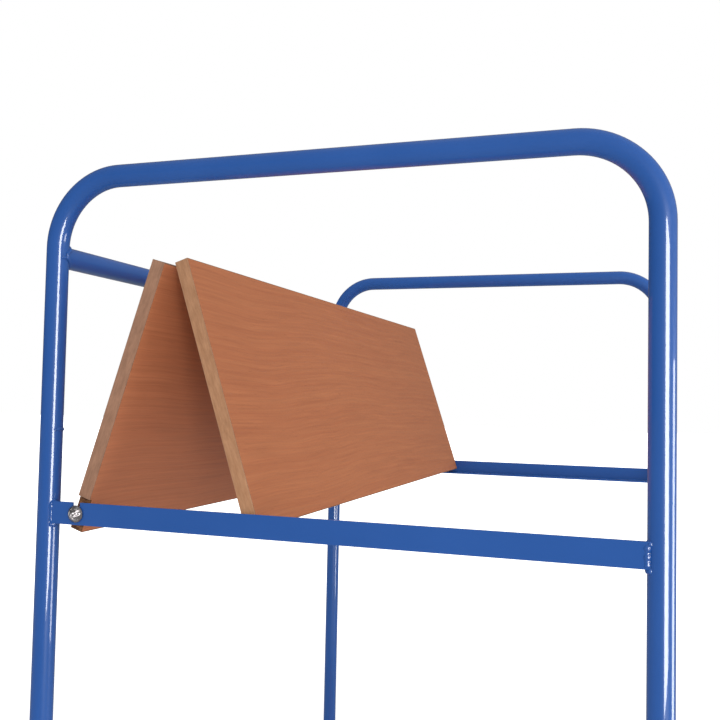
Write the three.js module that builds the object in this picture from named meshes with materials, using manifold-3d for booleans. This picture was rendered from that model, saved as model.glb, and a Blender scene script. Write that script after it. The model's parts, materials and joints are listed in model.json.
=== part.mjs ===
// Shelf trolley with a folding upper shelf, in millimetres.
// +Z is up and the floor is at zero. +X runs along the trolley, left end to right end.
// +Y points to the back, where the tie tube joins the two end bows. The front is open.
// The origin is the middle of the footprint, on the floor.
// The shelf is folded up like a tent: its back half turns on two pins that lie in open
// slots of the end rails, its front half hangs on the fold hinges.

import * as THREE from 'three';
import { mergeVertices } from 'three/addons/utils/BufferGeometryUtils.js';
import Module from 'manifold-3d';

const wasm = await Module();
wasm.setup();

// Clearances
const seatGap = 0.3;
const cutOverrun = 20;

// End bows: one bent tube each, two posts and the top bar
const frameLength = 1110;
const frameWidth = 790;
const bowTubeDiameter = 30;
const bowTubeWall = 2;
const bowBendRadius = 95;
const shelfRailHeight = 1060;
const bowTopAboveShelfRail = 470;

// Back tie tube
const tieTubeDiameter = 30;
const tieTubeWall = 2;
const tieAboveShelfRail = 364;

// Shelf rails: angle section, flange up on the outside, leg inward at the bottom
const railFlangeOffset = 10.7;
const shelfRailFlange = 30;
const shelfRailLeg = 30;
const shelfRailThickness = 3;
const shelfLegFromBackPost = 75;

// Pivot pins and their slots in the rails
const pinFromBackPost = 52;
const pinDiameter = 10;
const pinSlotWidth = 11;
const pinHeadDiameter = 23;
const pinHeadHeight = 5;
const pinDomeShares = [[1, 0.25], [0.84, 0.62], [0.54, 0.9]];
const pinDepthInBoard = 30;
const pivotNutFlats = 16;
const pivotNutHeight = 5;

// Shelf boards
const boardThickness = 19;
const boardEndClearance = 3.7;
const boardBeyondPin = 24.5;
const freeEdgeFromFrontPost = 18;
const foldOffset = 3.5;
const foldGap = 4;
const shelfAboveLeg = 2.5;
const recessWidth = 49;
const recessDepth = 5;
const tentAngleDegrees = 71.8;

// Fold hinges: leaf holes are given along the leaf and across it
const hingeNames = ['left', 'middle', 'right'];
const hingePlacesShares = [-0.76, 0, 0.76];
const leafLength = 60;
const leafWidth = 42;
const leafThickness = 2.5;
const knuckleDiameter = 13;
const knuckleBelowBoard = 1;
const knuckleSideGap = 0.5;
const middleKnuckleShare = 0.45;
const hingePinDiameter = 7;
const hingePinProud = 1.5;
const leafHoleDiameter = 5;
const leafHolePlacesShares = [[-0.34, 0.42], [0, 0.76], [0.34, 0.42]];

// Base frame: angle section on four corner plates
const baseRailFlange = 40;
const baseRailLeg = 40;
const baseRailThickness = 4;
const baseLegGap = 1;
const cornerPlateLength = 172;
const cornerPlateWidth = 150;
const cornerPlateThickness = 5;
const cornerPlateRadius = 8;

// Bottom deck
const deckThickness = 19;
const deckSideClearance = 2.3;
const deckPostClearance = 5;
const deckHolePlacesShares = [-0.55, 0, 0.55];
const deckHoleFromPostAxis = 14;
const deckHoleDiameter = 5.6;

// Castors
const castorFromPostX = 90;
const castorFromPostY = 78;
const castorPlateLength = 105;
const castorPlateWidth = 85;
const castorPlateThickness = 4;
const castorPlateRadius = 8;
const castorHolesLength = 80;
const castorHolesWidth = 60;
const castorHoleDiameter = 8.6;
const wheelDiameter = 160;
const wheelBelowCrown = 12;
const wheelWidth = 40;
const tyreBandHeight = 17;
const tyreShoulder = 6;
const tyreShoulderShares = [[1, 0], [0.25, 0.5], [0, 1.5]];
const rimThickness = 6;
const rimInset = 1;
const hubDiameter = 36;
const hubLength = 50;
const webThickness = 10;
const runningGap = 0.5;
const forkLegThickness = 4;
const forkSideGap = 1;
const axleDiameter = 12;
const axleHeadFlats = 18;
const axleHeadHeight = 7;
const axleNutHeight = 9;
const axleProud = 3;

// Swivel castors, at the left end
const swivelTrail = 50;
const crownDiameter = 72;
const crownBelowPlate = 15;
const crownThickness = 4;
const bearingDiameter = 58;
const kingpinDiameter = 12;
const kingpinHeadFlats = 19;
const kingpinHeadHeight = 8;
const forkLegBack = 22;
const forkLegFrontShare = 0.28;
const forkEndRadius = 16;
const forkShoulderBelowCrown = 18;

// Brake pedals on the swivel castors: the shoe's face is placed where it meets the tyre
const pedalPivotFromAxleX = 10;
const pedalPivotBelowCrown = 2;
const pedalPivotDiameter = 6;
const pedalBossRadius = 6;
const pedalSideGap = 3;
const pedalReach = 78;
const pedalDrop = 15;
const pedalThickness = 5;
const pedalShoeGap = 0.5;
const pedalShoeLength = 16;
const pedalShoeAngleDegrees = 24;
const pedalPressDegrees = 7;

// Fixed castors, at the right end
const bracketLegHalfWidth = 30;

// How finely round shapes are divided
const bowSides = 20;
const bendSteps = 8;
const tieSides = 20;
const wheelSides = 24;
const pinSides = 12;
const smallHoleSides = 8;
const plateCornerSides = 8;
const hexagonSides = 6;
const cutterSides = 28;

// Places worked out from the sizes above
const bowTubeRadius = bowTubeDiameter / 2;
const crownBottom = wheelDiameter + wheelBelowCrown;
const crownTop = crownBottom + crownThickness;
const castorHeight = crownTop + crownBelowPlate + castorPlateThickness;
const cornerPlateBottom = castorHeight + seatGap;
const baseRailBottom = cornerPlateBottom + cornerPlateThickness + seatGap;
const deckBottom = baseRailBottom + baseRailThickness + seatGap;
const bowTopHeight = shelfRailHeight + bowTopAboveShelfRail;
const railOuterX = frameLength / 2 + railFlangeOffset;
const railOuterY = frameWidth / 2 + railFlangeOffset;
const boardHalfLength = railOuterX - shelfRailThickness - boardEndClearance;
const hingeDrop = knuckleDiameter / 2 + knuckleBelowBoard;
const pinY = frameWidth / 2 - pinFromBackPost;
const pinZ = shelfRailHeight + shelfRailThickness + shelfAboveLeg + boardThickness / 2;
const halfShelfWidth = (frameWidth - pinFromBackPost - freeEdgeFromFrontPost) / 2;
const pinToFold = halfShelfWidth - foldOffset;
const foldToFreeEdge = halfShelfWidth + foldOffset;
const tentAngle = THREE.MathUtils.degToRad(tentAngleDegrees);
const wheelRadius = wheelDiameter / 2;
const tyreCornerRadius = wheelRadius / Math.cos(Math.PI / wheelSides);
const axleZ = wheelRadius;
const forkInnerHalf = hubLength / 2 + forkSideGap;
const forkOuterHalf = forkInnerHalf + forkLegThickness;
const castorX = frameLength / 2 - castorFromPostX;
const castorY = frameWidth / 2 - castorFromPostY;

// Finishes
const bluePaint = new THREE.MeshStandardMaterial({ color: 0x365da3, roughness: 0.32, metalness: 0.1 });
const beechDecor = new THREE.MeshStandardMaterial({ color: 0xb0704e, roughness: 0.48, metalness: 0 });
const zincPlate = new THREE.MeshStandardMaterial({ color: 0xb9bcc0, roughness: 0.34, metalness: 0.9 });
const brightSteel = new THREE.MeshStandardMaterial({ color: 0xd2d4d6, roughness: 0.18, metalness: 1 });
const greyRubber = new THREE.MeshStandardMaterial({ color: 0x565a5e, roughness: 0.82, metalness: 0 });
const darkPlastic = new THREE.MeshStandardMaterial({ color: 0x2b2d30, roughness: 0.55, metalness: 0 });

// A point in space.
function at(x, y, z) {
  return new THREE.Vector3(x, y, z);
}

// The solid that a closed geometry bounds.
function solidOf(geometry) {
  const bare = geometry.clone();
  bare.deleteAttribute('normal');
  bare.deleteAttribute('uv');
  const merged = mergeVertices(bare);
  return new wasm.Manifold(new wasm.Mesh({
    numProp: 3,
    vertProperties: new Float32Array(merged.attributes.position.array),
    triVerts: new Uint32Array(merged.index.array),
  }));
}

// The geometry of a solid.
function geometryOf(solid) {
  const mesh = solid.getMesh();
  const geometry = new THREE.BufferGeometry();
  geometry.setAttribute('position', new THREE.BufferAttribute(mesh.vertProperties, mesh.numProp));
  geometry.setIndex(new THREE.BufferAttribute(mesh.triVerts, 1));
  geometry.computeVertexNormals();
  return geometry;
}

// One geometry joined with others.
function joined(first, ...others) {
  return geometryOf(others.reduce((solid, other) => solid.add(solidOf(other)), solidOf(first)));
}

// One geometry with others cut out of it.
function carved(body, ...cutters) {
  return geometryOf(cutters.reduce((solid, cutter) => solid.subtract(solidOf(cutter)), solidOf(body)));
}

// A rectangular block between two opposite corners, in either order.
function block(from, to) {
  const size = to.clone().sub(from);
  const geometry = new THREE.BoxGeometry(Math.abs(size.x), Math.abs(size.y), Math.abs(size.z));
  const middle = from.clone().lerp(to, 0.5);
  return geometry.translate(middle.x, middle.y, middle.z);
}

// A round bar along +Z from a place.
function roundZ(place, diameter, length, sides) {
  const bar = new THREE.CylinderGeometry(diameter / 2, diameter / 2, length, sides);
  return bar.rotateX(Math.PI / 2).translate(place.x, place.y, place.z + length / 2);
}

// A round bar along +Y from a place.
function roundY(place, diameter, length, sides) {
  const bar = new THREE.CylinderGeometry(diameter / 2, diameter / 2, length, sides);
  return bar.translate(place.x, place.y + length / 2, place.z);
}

// A round bar along +X from a place.
function roundX(place, diameter, length, sides) {
  const bar = new THREE.CylinderGeometry(diameter / 2, diameter / 2, length, sides);
  return bar.rotateZ(-Math.PI / 2).translate(place.x + length / 2, place.y, place.z);
}

// A round bar or cutter along Z that reaches as far above its place as below it.
function barZ(place, diameter, reach, sides) {
  return roundZ(at(place.x, place.y, place.z - reach), diameter, 2 * reach, sides);
}

// A round bar or cutter along Y that reaches as far to both sides of its place.
function barY(place, diameter, reach, sides) {
  return roundY(at(place.x, place.y - reach, place.z), diameter, 2 * reach, sides);
}

// A round bar or cutter along X that reaches as far to both sides of its place.
function barX(place, diameter, reach, sides) {
  return roundX(at(place.x - reach, place.y, place.z), diameter, 2 * reach, sides);
}

// The diameter across the corners of a hexagon, from its width across the flats.
function acrossCorners(flats) {
  return flats / Math.cos(Math.PI / 6);
}

// A shape turned about the Y axis from points of radius and height.
function turned(points, sides, start = 0) {
  const profile = points.map(([radius, height]) => new THREE.Vector2(radius, height));
  return new THREE.LatheGeometry(profile, sides, start);
}

// An outline in X and Z as a plate, from the lower Y face to the upper one.
function plateAlongY(outline, lowerY, upperY, sides) {
  const settings = { depth: upperY - lowerY, bevelEnabled: false, curveSegments: sides / 2 };
  const plate = new THREE.ExtrudeGeometry(outline, settings);
  return plate.rotateX(Math.PI / 2).translate(0, upperY, 0);
}

// A rectangle with rounded corners, as an outline.
function roundedRectangle(length, width, radius) {
  const outline = new THREE.Shape();
  const x = length / 2 - radius;
  const y = width / 2 - radius;
  outline.absarc(x, y, radius, 0, Math.PI / 2);
  outline.absarc(-x, y, radius, Math.PI / 2, Math.PI);
  outline.absarc(-x, -y, radius, Math.PI, Math.PI * 1.5);
  outline.absarc(x, -y, radius, Math.PI * 1.5, Math.PI * 2);
  outline.closePath();
  return outline;
}

// A flat plate with rounded corners and its underside at a height.
function roundedPlate(length, width, thickness, radius, x, y, bottom) {
  const settings = { depth: thickness, bevelEnabled: false, curveSegments: plateCornerSides / 4 };
  const plate = new THREE.ExtrudeGeometry(roundedRectangle(length, width, radius), settings);
  return plate.translate(x, y, bottom);
}

// A named mesh.
function piece(name, geometry, material) {
  const mesh = new THREE.Mesh(geometry, material);
  mesh.name = name;
  return mesh;
}

// A route that has one tube ring at each of its stations.
class Route extends THREE.Curve {
  constructor(stations) {
    super();
    this.stations = stations;
  }

  station(share) {
    return this.stations[Math.round(share * (this.stations.length - 1))];
  }

  getPointAt(share) {
    return this.station(share).place.clone();
  }

  getTangentAt(share) {
    return this.station(share).heading.clone();
  }
}

// A round tube with its bore, along a list of stations.
function tubeAlong(stations, diameter, wall, sides) {
  const section = new THREE.Shape().absarc(0, 0, diameter / 2, 0, Math.PI * 2);
  section.holes.push(new THREE.Path().absarc(0, 0, diameter / 2 - wall, 0, Math.PI * 2));
  return new THREE.ExtrudeGeometry(section, {
    steps: stations.length - 1,
    curveSegments: sides / 2,
    extrudePath: new Route(stations),
  });
}

// The stations of one bend, from the angle where it starts through a quarter turn.
function bendStations(x, y, startAngle) {
  const z = bowTopHeight - bowBendRadius;
  return Array.from({ length: bendSteps + 1 }, (unused, step) => {
    const angle = startAngle + (Math.PI / 2) * (step / bendSteps);
    const place = at(x, y + bowBendRadius * Math.cos(angle), z + bowBendRadius * Math.sin(angle));
    return { place, heading: at(0, -Math.sin(angle), Math.cos(angle)) };
  });
}

// One end bow: back post, bend, top bar, bend and front post.
function endBow(name, end) {
  const x = end * frameLength / 2;
  const foot = cornerPlateBottom + cornerPlateThickness + seatGap;
  const bendY = frameWidth / 2 - bowBendRadius;
  const stations = [
    { place: at(x, frameWidth / 2, foot), heading: at(0, 0, 1) },
    ...bendStations(x, bendY, 0),
    ...bendStations(x, -bendY, Math.PI / 2),
    { place: at(x, -frameWidth / 2, foot), heading: at(0, 0, -1) },
  ];
  return piece(name, tubeAlong(stations, bowTubeDiameter, bowTubeWall, bowSides), bluePaint);
}

// The four posts, a seat gap larger, as they cut what is welded to them.
function postCutters() {
  const diameter = bowTubeDiameter + 2 * seatGap;
  const places = [];
  for (const end of [-1, 1]) {
    for (const side of [-1, 1]) {
      places.push(at(end * frameLength / 2, side * frameWidth / 2, -cutOverrun));
    }
  }
  return places.map((place) => roundZ(place, diameter, bowTopHeight + cutOverrun, cutterSides));
}

// The tube that joins the back posts, its ends cut to fit round them.
function backTieTube() {
  const z = shelfRailHeight + tieAboveShelfRail;
  const stations = [-1, 1].map((end) => ({
    place: at(end * frameLength / 2, frameWidth / 2, z),
    heading: at(1, 0, 0),
  }));
  const tube = tubeAlong(stations, tieTubeDiameter, tieTubeWall, tieSides);
  return piece('back_tie_tube', carved(tube, ...postCutters()), bluePaint);
}

// One shelf rail: the leg starts clear of the board's swing, the slot is open at the top.
function shelfRail(name, end) {
  const outer = end * railOuterX;
  const inner = outer - end * shelfRailThickness;
  const tip = outer - end * shelfRailLeg;
  const postY = frameWidth / 2;
  const legBack = postY - shelfLegFromBackPost;
  const bottom = shelfRailHeight;
  const flange = block(at(outer, -postY, bottom), at(inner, postY, bottom + shelfRailFlange));
  const leg = block(at(outer, -postY, bottom), at(tip, legBack, bottom + shelfRailThickness));
  const slotHalf = pinSlotWidth / 2;
  const slotTop = at(inner - end * cutOverrun, pinY + slotHalf, bottom + shelfRailFlange + cutOverrun);
  const slot = block(at(outer + end * cutOverrun, pinY - slotHalf, pinZ), slotTop);
  const slotEnd = barX(at(outer, pinY, pinZ), pinSlotWidth, cutOverrun, pinSides);
  return piece(name, carved(joined(flange, leg), slot, slotEnd, ...postCutters()), bluePaint);
}

// One end rail of the base frame, between the posts of a bow.
function baseEndRail(name, end) {
  const outer = end * railOuterX;
  const postY = frameWidth / 2;
  const bottom = baseRailBottom;
  const inner = outer - end * baseRailThickness;
  const flange = block(at(outer, -postY, bottom), at(inner, postY, bottom + baseRailFlange));
  const tip = outer - end * baseRailLeg;
  const leg = block(at(outer, -postY, bottom), at(tip, postY, bottom + baseRailThickness));
  return piece(name, carved(joined(flange, leg), ...postCutters()), bluePaint);
}

// The holes for the deck's screws along one side rail.
function deckHoles(side) {
  const y = side * (frameWidth / 2 - deckHoleFromPostAxis);
  return deckHolePlacesShares.map((share) => {
    const place = at(share * frameLength / 2, y, baseRailBottom);
    return barZ(place, deckHoleDiameter, cutOverrun, smallHoleSides);
  });
}

// One side rail of the base frame: its leg stops short of the end rails' legs.
function baseSideRail(name, side) {
  const outer = side * railOuterY;
  const inner = outer - side * baseRailThickness;
  const tip = outer - side * baseRailLeg;
  const postX = frameLength / 2;
  const legEnd = railOuterX - baseRailLeg - baseLegGap;
  const bottom = baseRailBottom;
  const flange = block(at(-postX, outer, bottom), at(postX, inner, bottom + baseRailFlange));
  const leg = block(at(-legEnd, outer, bottom), at(legEnd, tip, bottom + baseRailThickness));
  return piece(name, carved(joined(flange, leg), ...deckHoles(side), ...postCutters()), bluePaint);
}

// The four holes for the castor bolts of one corner.
function castorBoltHoles(end, side) {
  const holes = [];
  for (const along of [-1, 1]) {
    for (const across of [-1, 1]) {
      const x = end * castorX + along * castorHolesLength / 2;
      const y = side * castorY + across * castorHolesWidth / 2;
      holes.push(barZ(at(x, y, castorHeight), castorHoleDiameter, cutOverrun, smallHoleSides));
    }
  }
  return holes;
}

// The plate under one corner: it carries the post, the base rails and the castor.
function cornerPlate(name, end, side) {
  const x = end * (frameLength / 2 + bowTubeRadius - cornerPlateLength / 2);
  const y = side * (frameWidth / 2 + bowTubeRadius - cornerPlateWidth / 2);
  const size = [cornerPlateLength, cornerPlateWidth, cornerPlateThickness, cornerPlateRadius];
  const plate = roundedPlate(...size, x, y, cornerPlateBottom);
  return piece(name, carved(plate, ...castorBoltHoles(end, side)), bluePaint);
}

// The outline of the bottom deck, notched round the four posts.
function deckOutline() {
  const x = railOuterX - baseRailThickness - deckSideClearance;
  const y = railOuterY - baseRailThickness - deckSideClearance;
  const notchX = frameLength / 2 - bowTubeRadius - deckPostClearance;
  const notchY = frameWidth / 2 - bowTubeRadius - deckPostClearance;
  const quarter = [[x, notchY], [notchX, notchY], [notchX, y]];
  const points = [
    ...quarter,
    ...quarter.map(([px, py]) => [-px, py]).reverse(),
    ...quarter.map(([px, py]) => [-px, -py]),
    ...quarter.map(([px, py]) => [px, -py]).reverse(),
  ];
  return new THREE.Shape(points.map(([px, py]) => new THREE.Vector2(px, py)));
}

// The bottom deck board, resting on the legs of the base rails.
function deckBoard() {
  const board = new THREE.ExtrudeGeometry(deckOutline(), { depth: deckThickness, bevelEnabled: false });
  return piece('deck_board', board.translate(0, 0, deckBottom), beechDecor);
}

// A board half of the shelf, lying flat, between two Y places and with its underside at a height.
function shelfBoard(fromY, toY, underside) {
  const from = at(-boardHalfLength, fromY, underside);
  return block(from, at(boardHalfLength, toY, underside + boardThickness));
}

// The recess round the pin at one end of the back half.
function pinRecess(end) {
  const recessX = end * (boardHalfLength - recessDepth);
  const from = at(recessX, boardBeyondPin - recessWidth, -boardThickness);
  return block(from, at(end * (boardHalfLength + cutOverrun), boardBeyondPin + cutOverrun, boardThickness));
}

// The back half of the shelf, with its pin axis along X through the origin.
function shelfBoardBack() {
  const board = shelfBoard(boardBeyondPin, -pinToFold + foldGap / 2, -boardThickness / 2);
  const pinHoles = [-1, 1].map((end) => {
    const mouth = at(end * (boardHalfLength - recessDepth), 0, 0);
    return barX(mouth, pinDiameter + 2 * seatGap, pinDepthInBoard + seatGap, pinSides);
  });
  return piece('shelf_board_back', carved(board, pinRecess(-1), pinRecess(1), ...pinHoles), beechDecor);
}

// The fold axis as seen from the pin axis, with the shelf flat.
function foldAxisInBack() {
  return at(0, -pinToFold, -boardThickness / 2 - hingeDrop);
}

// The front half of the shelf, with the fold axis along X through the origin.
function shelfBoardFront() {
  return piece('shelf_board_front', shelfBoard(-foldGap / 2, -foldToFreeEdge, hingeDrop), beechDecor);
}

// One pivot pin: a domed head outside the rail and a shank into the board.
function pivotPin(name, end) {
  const headSeat = railOuterX + seatGap;
  const shankEnd = boardHalfLength - recessDepth - pinDepthInBoard;
  const dome = turned([
    [0, shankEnd],
    [pinDiameter / 2, shankEnd],
    [pinDiameter / 2, headSeat],
    [pinHeadDiameter / 2, headSeat],
    ...pinDomeShares.map(([wide, high]) => [wide * pinHeadDiameter / 2, headSeat + high * pinHeadHeight]),
    [0, headSeat + pinHeadHeight],
  ], pinSides);
  return piece(name, dome.rotateZ(-end * Math.PI / 2), brightSteel);
}

// The lock nut behind a pivot pin, in the recess of the board.
function pivotNut(name, end) {
  const seat = boardHalfLength - recessDepth + seatGap;
  const middle = at(end * (seat + pivotNutHeight / 2), 0, 0);
  const hexagon = barX(middle, acrossCorners(pivotNutFlats), pivotNutHeight / 2, hexagonSides);
  const bore = barX(middle, pinDiameter + 2 * seatGap, cutOverrun, pinSides);
  return piece(name, carved(hexagon, bore), zincPlate);
}

// The X places of the three fold hinges.
function hingePlaces() {
  return hingePlacesShares.map((share) => share * boardHalfLength);
}

// The screw holes of one leaf, on the side of the fold that is given.
function leafHoles(side) {
  return leafHolePlacesShares.map(([along, across]) => {
    const place = at(along * leafLength, side * across * leafWidth, hingeDrop);
    return barZ(place, leafHoleDiameter, cutOverrun, smallHoleSides);
  });
}

// The X limits of the middle knuckle, which the front leaf carries.
function middleKnuckle() {
  return middleKnuckleShare * leafLength / 2;
}

// The part of a leaf's knuckle line that belongs to the front leaf, widened by a gap.
function middleSpace(gap) {
  const half = middleKnuckle() + gap;
  const reach = knuckleDiameter / 2 + knuckleBelowBoard;
  return block(at(-half, -reach, -cutOverrun), at(half, reach, cutOverrun));
}

// The parts of a leaf's knuckle line that belong to the back leaf, widened by a gap.
function outerSpaces(gap) {
  const start = middleKnuckle() - gap;
  const reach = knuckleDiameter / 2 + knuckleBelowBoard;
  return [-1, 1].map((end) => (
    block(at(end * start, -reach, -cutOverrun), at(end * leafLength, reach, cutOverrun))
  ));
}

// One hinge leaf, its pin axis along X through the origin, its plate below the board.
function hingeLeaf(side) {
  const top = hingeDrop - seatGap;
  const half = leafLength / 2;
  const plate = block(at(-half, 0, top - leafThickness), at(half, side * leafWidth, top));
  const knuckle = roundX(at(-half, 0, 0), knuckleDiameter, leafLength, pinSides);
  const bore = barX(at(0, 0, 0), hingePinDiameter + 2 * seatGap, half + cutOverrun, pinSides);
  const spaces = side > 0 ? [middleSpace(knuckleSideGap / 2)] : outerSpaces(knuckleSideGap / 2);
  return carved(joined(plate, knuckle), bore, ...leafHoles(side), ...spaces);
}

// The three leaves on one side of the fold, seen from the fold axis.
function hingeLeaves(side, half, axis) {
  return hingePlaces().map((x, index) => {
    const geometry = hingeLeaf(side).translate(x, axis.y, axis.z);
    return piece(`hinge_leaf_${half}_${hingeNames[index]}`, geometry, zincPlate);
  });
}

// The pins of the three fold hinges.
function hingePins(axis) {
  const length = leafLength + 2 * hingePinProud;
  return hingePlaces().map((x, index) => {
    const pin = roundX(at(x - length / 2, axis.y, axis.z), hingePinDiameter, length, pinSides);
    return piece(`hinge_pin_${hingeNames[index]}`, pin, zincPlate);
  });
}

// The wheel body about the axle: hub, web and rim.
function wheelBody() {
  const boreRadius = axleDiameter / 2 + runningGap;
  const hubRadius = hubDiameter / 2;
  const rimOuter = wheelRadius - tyreBandHeight;
  const rimInner = rimOuter - rimThickness;
  const rimHalf = wheelWidth / 2 - rimInset;
  return turned([
    [boreRadius, -hubLength / 2],
    [hubRadius, -hubLength / 2],
    [hubRadius, -webThickness / 2],
    [rimInner, -webThickness / 2],
    [rimInner, -rimHalf],
    [rimOuter, -rimHalf],
    [rimOuter, rimHalf],
    [rimInner, rimHalf],
    [rimInner, webThickness / 2],
    [hubRadius, webThickness / 2],
    [hubRadius, hubLength / 2],
    [boreRadius, hubLength / 2],
    [boreRadius, -hubLength / 2],
  ], wheelSides, Math.PI / wheelSides);
}

// The tyre about the axle. Its flats, not its corners, lie at the wheel's radius.
function tyreBand() {
  const outer = tyreCornerRadius;
  const inner = wheelRadius - tyreBandHeight + seatGap;
  const half = wheelWidth / 2;
  const shoulder = tyreShoulderShares.map(([drop, inward]) => (
    [outer - drop * tyreShoulder, half - inward * tyreShoulder]
  ));
  return turned([
    [inner, -half + rimInset],
    ...shoulder.map(([radius, across]) => [radius, -across]),
    ...shoulder.reverse(),
    [inner, half - rimInset],
    [inner, -half + rimInset],
  ], wheelSides, Math.PI / wheelSides);
}

// The axle bolt: hexagon head on the front side, shank along +Y.
function axleBolt(x, y) {
  const start = -forkOuterHalf - seatGap;
  const length = 2 * forkOuterHalf + 2 * seatGap + axleNutHeight + axleProud;
  const shank = roundY(at(x, y + start, axleZ), axleDiameter, length, pinSides);
  const corners = acrossCorners(axleHeadFlats);
  const head = roundY(at(x, y + start - axleHeadHeight, axleZ), corners, axleHeadHeight, hexagonSides);
  return joined(shank, head);
}

// The axle nut on the back side.
function axleNut(x, y) {
  const middle = at(x, y + forkOuterHalf + seatGap + axleNutHeight / 2, axleZ);
  const hexagon = barY(middle, acrossCorners(axleHeadFlats), axleNutHeight / 2, hexagonSides);
  const bore = barY(middle, axleDiameter + 2 * seatGap, cutOverrun, pinSides);
  return carved(hexagon, bore);
}

// The wheel, tyre, axle bolt and nut of one castor, at the axle's place.
function wheelSet(kind, place, x, y) {
  return [
    piece(`${kind}_axle_${place}`, axleBolt(x, y), zincPlate),
    piece(`${kind}_axle_nut_${place}`, axleNut(x, y), zincPlate),
    piece(`${kind}_wheel_${place}`, wheelBody().translate(x, y, axleZ), darkPlastic),
    piece(`${kind}_tyre_${place}`, tyreBand().translate(x, y, axleZ), greyRubber),
  ];
}

// The side outline of a swivel fork's leg, with the kingpin at X zero.
function forkLegOutline() {
  const front = swivelTrail + forkLegFrontShare * wheelRadius;
  const shoulder = crownBottom - forkShoulderBelowCrown;
  const outline = new THREE.Shape();
  outline.moveTo(-forkLegBack, crownTop);
  outline.lineTo(-forkLegBack, crownBottom);
  outline.lineTo(swivelTrail - forkEndRadius, axleZ);
  outline.absarc(swivelTrail, axleZ, forkEndRadius, Math.PI, Math.PI * 2);
  outline.lineTo(front, shoulder);
  outline.lineTo(front, crownTop);
  outline.closePath();
  return outline;
}

// The X and Z place of a pedal's pivot, with the kingpin at X zero.
function pedalPivot() {
  return { x: swivelTrail + pedalPivotFromAxleX, z: crownBottom - pedalPivotBelowCrown };
}

// A swivel fork: crown, two legs, and holes for the kingpin, axle and pedal.
function swivelFork() {
  const legs = [-1, 1].map((side) => {
    const faces = [side * forkInnerHalf, side * forkOuterHalf].sort((a, b) => a - b);
    return plateAlongY(forkLegOutline(), faces[0], faces[1], pinSides);
  });
  const crown = roundZ(at(0, 0, crownBottom), crownDiameter, crownThickness, wheelSides);
  const reach = forkOuterHalf + cutOverrun;
  const pivot = pedalPivot();
  const pivotPlace = at(pivot.x, 0, pivot.z);
  return carved(
    joined(crown, ...legs),
    barZ(at(0, 0, crownBottom), kingpinDiameter + 2 * runningGap, cutOverrun, pinSides),
    barY(at(swivelTrail, 0, axleZ), axleDiameter + 2 * seatGap, reach, pinSides),
    barY(pivotPlace, pedalPivotDiameter + 2 * seatGap, reach, pinSides),
  );
}

// The two ends of the brake shoe's face: it lies on the tyre when the pedal is down, and is
// tipped up here about the pivot.
function pedalShoeEnds() {
  const pivot = pedalPivot();
  const angle = THREE.MathUtils.degToRad(pedalShoeAngleDegrees);
  const reach = tyreCornerRadius + pedalShoeGap;
  return [-1, 1].map((end) => {
    const along = end * pedalShoeLength / 2;
    const x = swivelTrail + reach * Math.sin(angle) + along * Math.cos(angle);
    const z = axleZ + reach * Math.cos(angle) - along * Math.sin(angle);
    const centre = new THREE.Vector2(pivot.x, pivot.z);
    return new THREE.Vector2(x, z).rotateAround(centre, THREE.MathUtils.degToRad(pedalPressDegrees));
  });
}

// The side outline of a brake pedal: boss, brake shoe and lever.
function pedalOutline() {
  const pivot = pedalPivot();
  const top = pivot.z + pedalBossRadius;
  const tipX = pivot.x + pedalReach;
  const tipTop = top - pedalDrop;
  const [shoeStart, shoeEnd] = pedalShoeEnds();
  const leverTop = top - pedalDrop * (shoeEnd.x - pivot.x) / pedalReach;
  const outline = new THREE.Shape();
  outline.absarc(pivot.x, pivot.z, pedalBossRadius, Math.PI / 2, Math.PI * 1.5);
  outline.lineTo(shoeStart.x, shoeStart.y);
  outline.lineTo(shoeEnd.x, shoeEnd.y);
  outline.lineTo(shoeEnd.x, leverTop - pedalThickness);
  outline.lineTo(tipX, tipTop - pedalThickness);
  outline.lineTo(tipX, tipTop);
  outline.closePath();
  return outline;
}

// A brake pedal with its pivot pin through both legs of the fork.
function brakePedal() {
  const half = forkInnerHalf - pedalSideGap;
  const body = plateAlongY(pedalOutline(), -half, half, pinSides);
  const pivot = pedalPivot();
  const pin = barY(at(pivot.x, 0, pivot.z), pedalPivotDiameter, forkOuterHalf, pinSides);
  return joined(body, pin);
}

// The top plate of a swivel castor, drilled for the bolts and the kingpin.
function swivelPlate(end, side) {
  const size = [castorPlateLength, castorPlateWidth, castorPlateThickness, castorPlateRadius];
  const x = end * castorX;
  const y = side * castorY;
  const plate = roundedPlate(...size, x, y, castorHeight - castorPlateThickness);
  const kingpinHole = barZ(at(x, y, castorHeight), kingpinDiameter + 2 * seatGap, cutOverrun, pinSides);
  return carved(plate, kingpinHole, ...castorBoltHoles(end, side));
}

// The bearing ring between a castor's plate and its fork.
function swivelBearing() {
  const bottom = crownTop + runningGap;
  const height = castorHeight - castorPlateThickness - seatGap - bottom;
  const ring = roundZ(at(0, 0, bottom), bearingDiameter, height, wheelSides);
  const bore = barZ(at(0, 0, bottom), kingpinDiameter + 2 * seatGap, height + cutOverrun, pinSides);
  return carved(ring, bore);
}

// The kingpin, with its hexagon head under the fork's crown.
function kingpin() {
  const headTop = crownBottom - runningGap;
  const corners = acrossCorners(kingpinHeadFlats);
  const head = roundZ(at(0, 0, headTop - kingpinHeadHeight), corners, kingpinHeadHeight, hexagonSides);
  const shank = roundZ(at(0, 0, headTop), kingpinDiameter, castorHeight - headTop, pinSides);
  return joined(head, shank);
}

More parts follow.
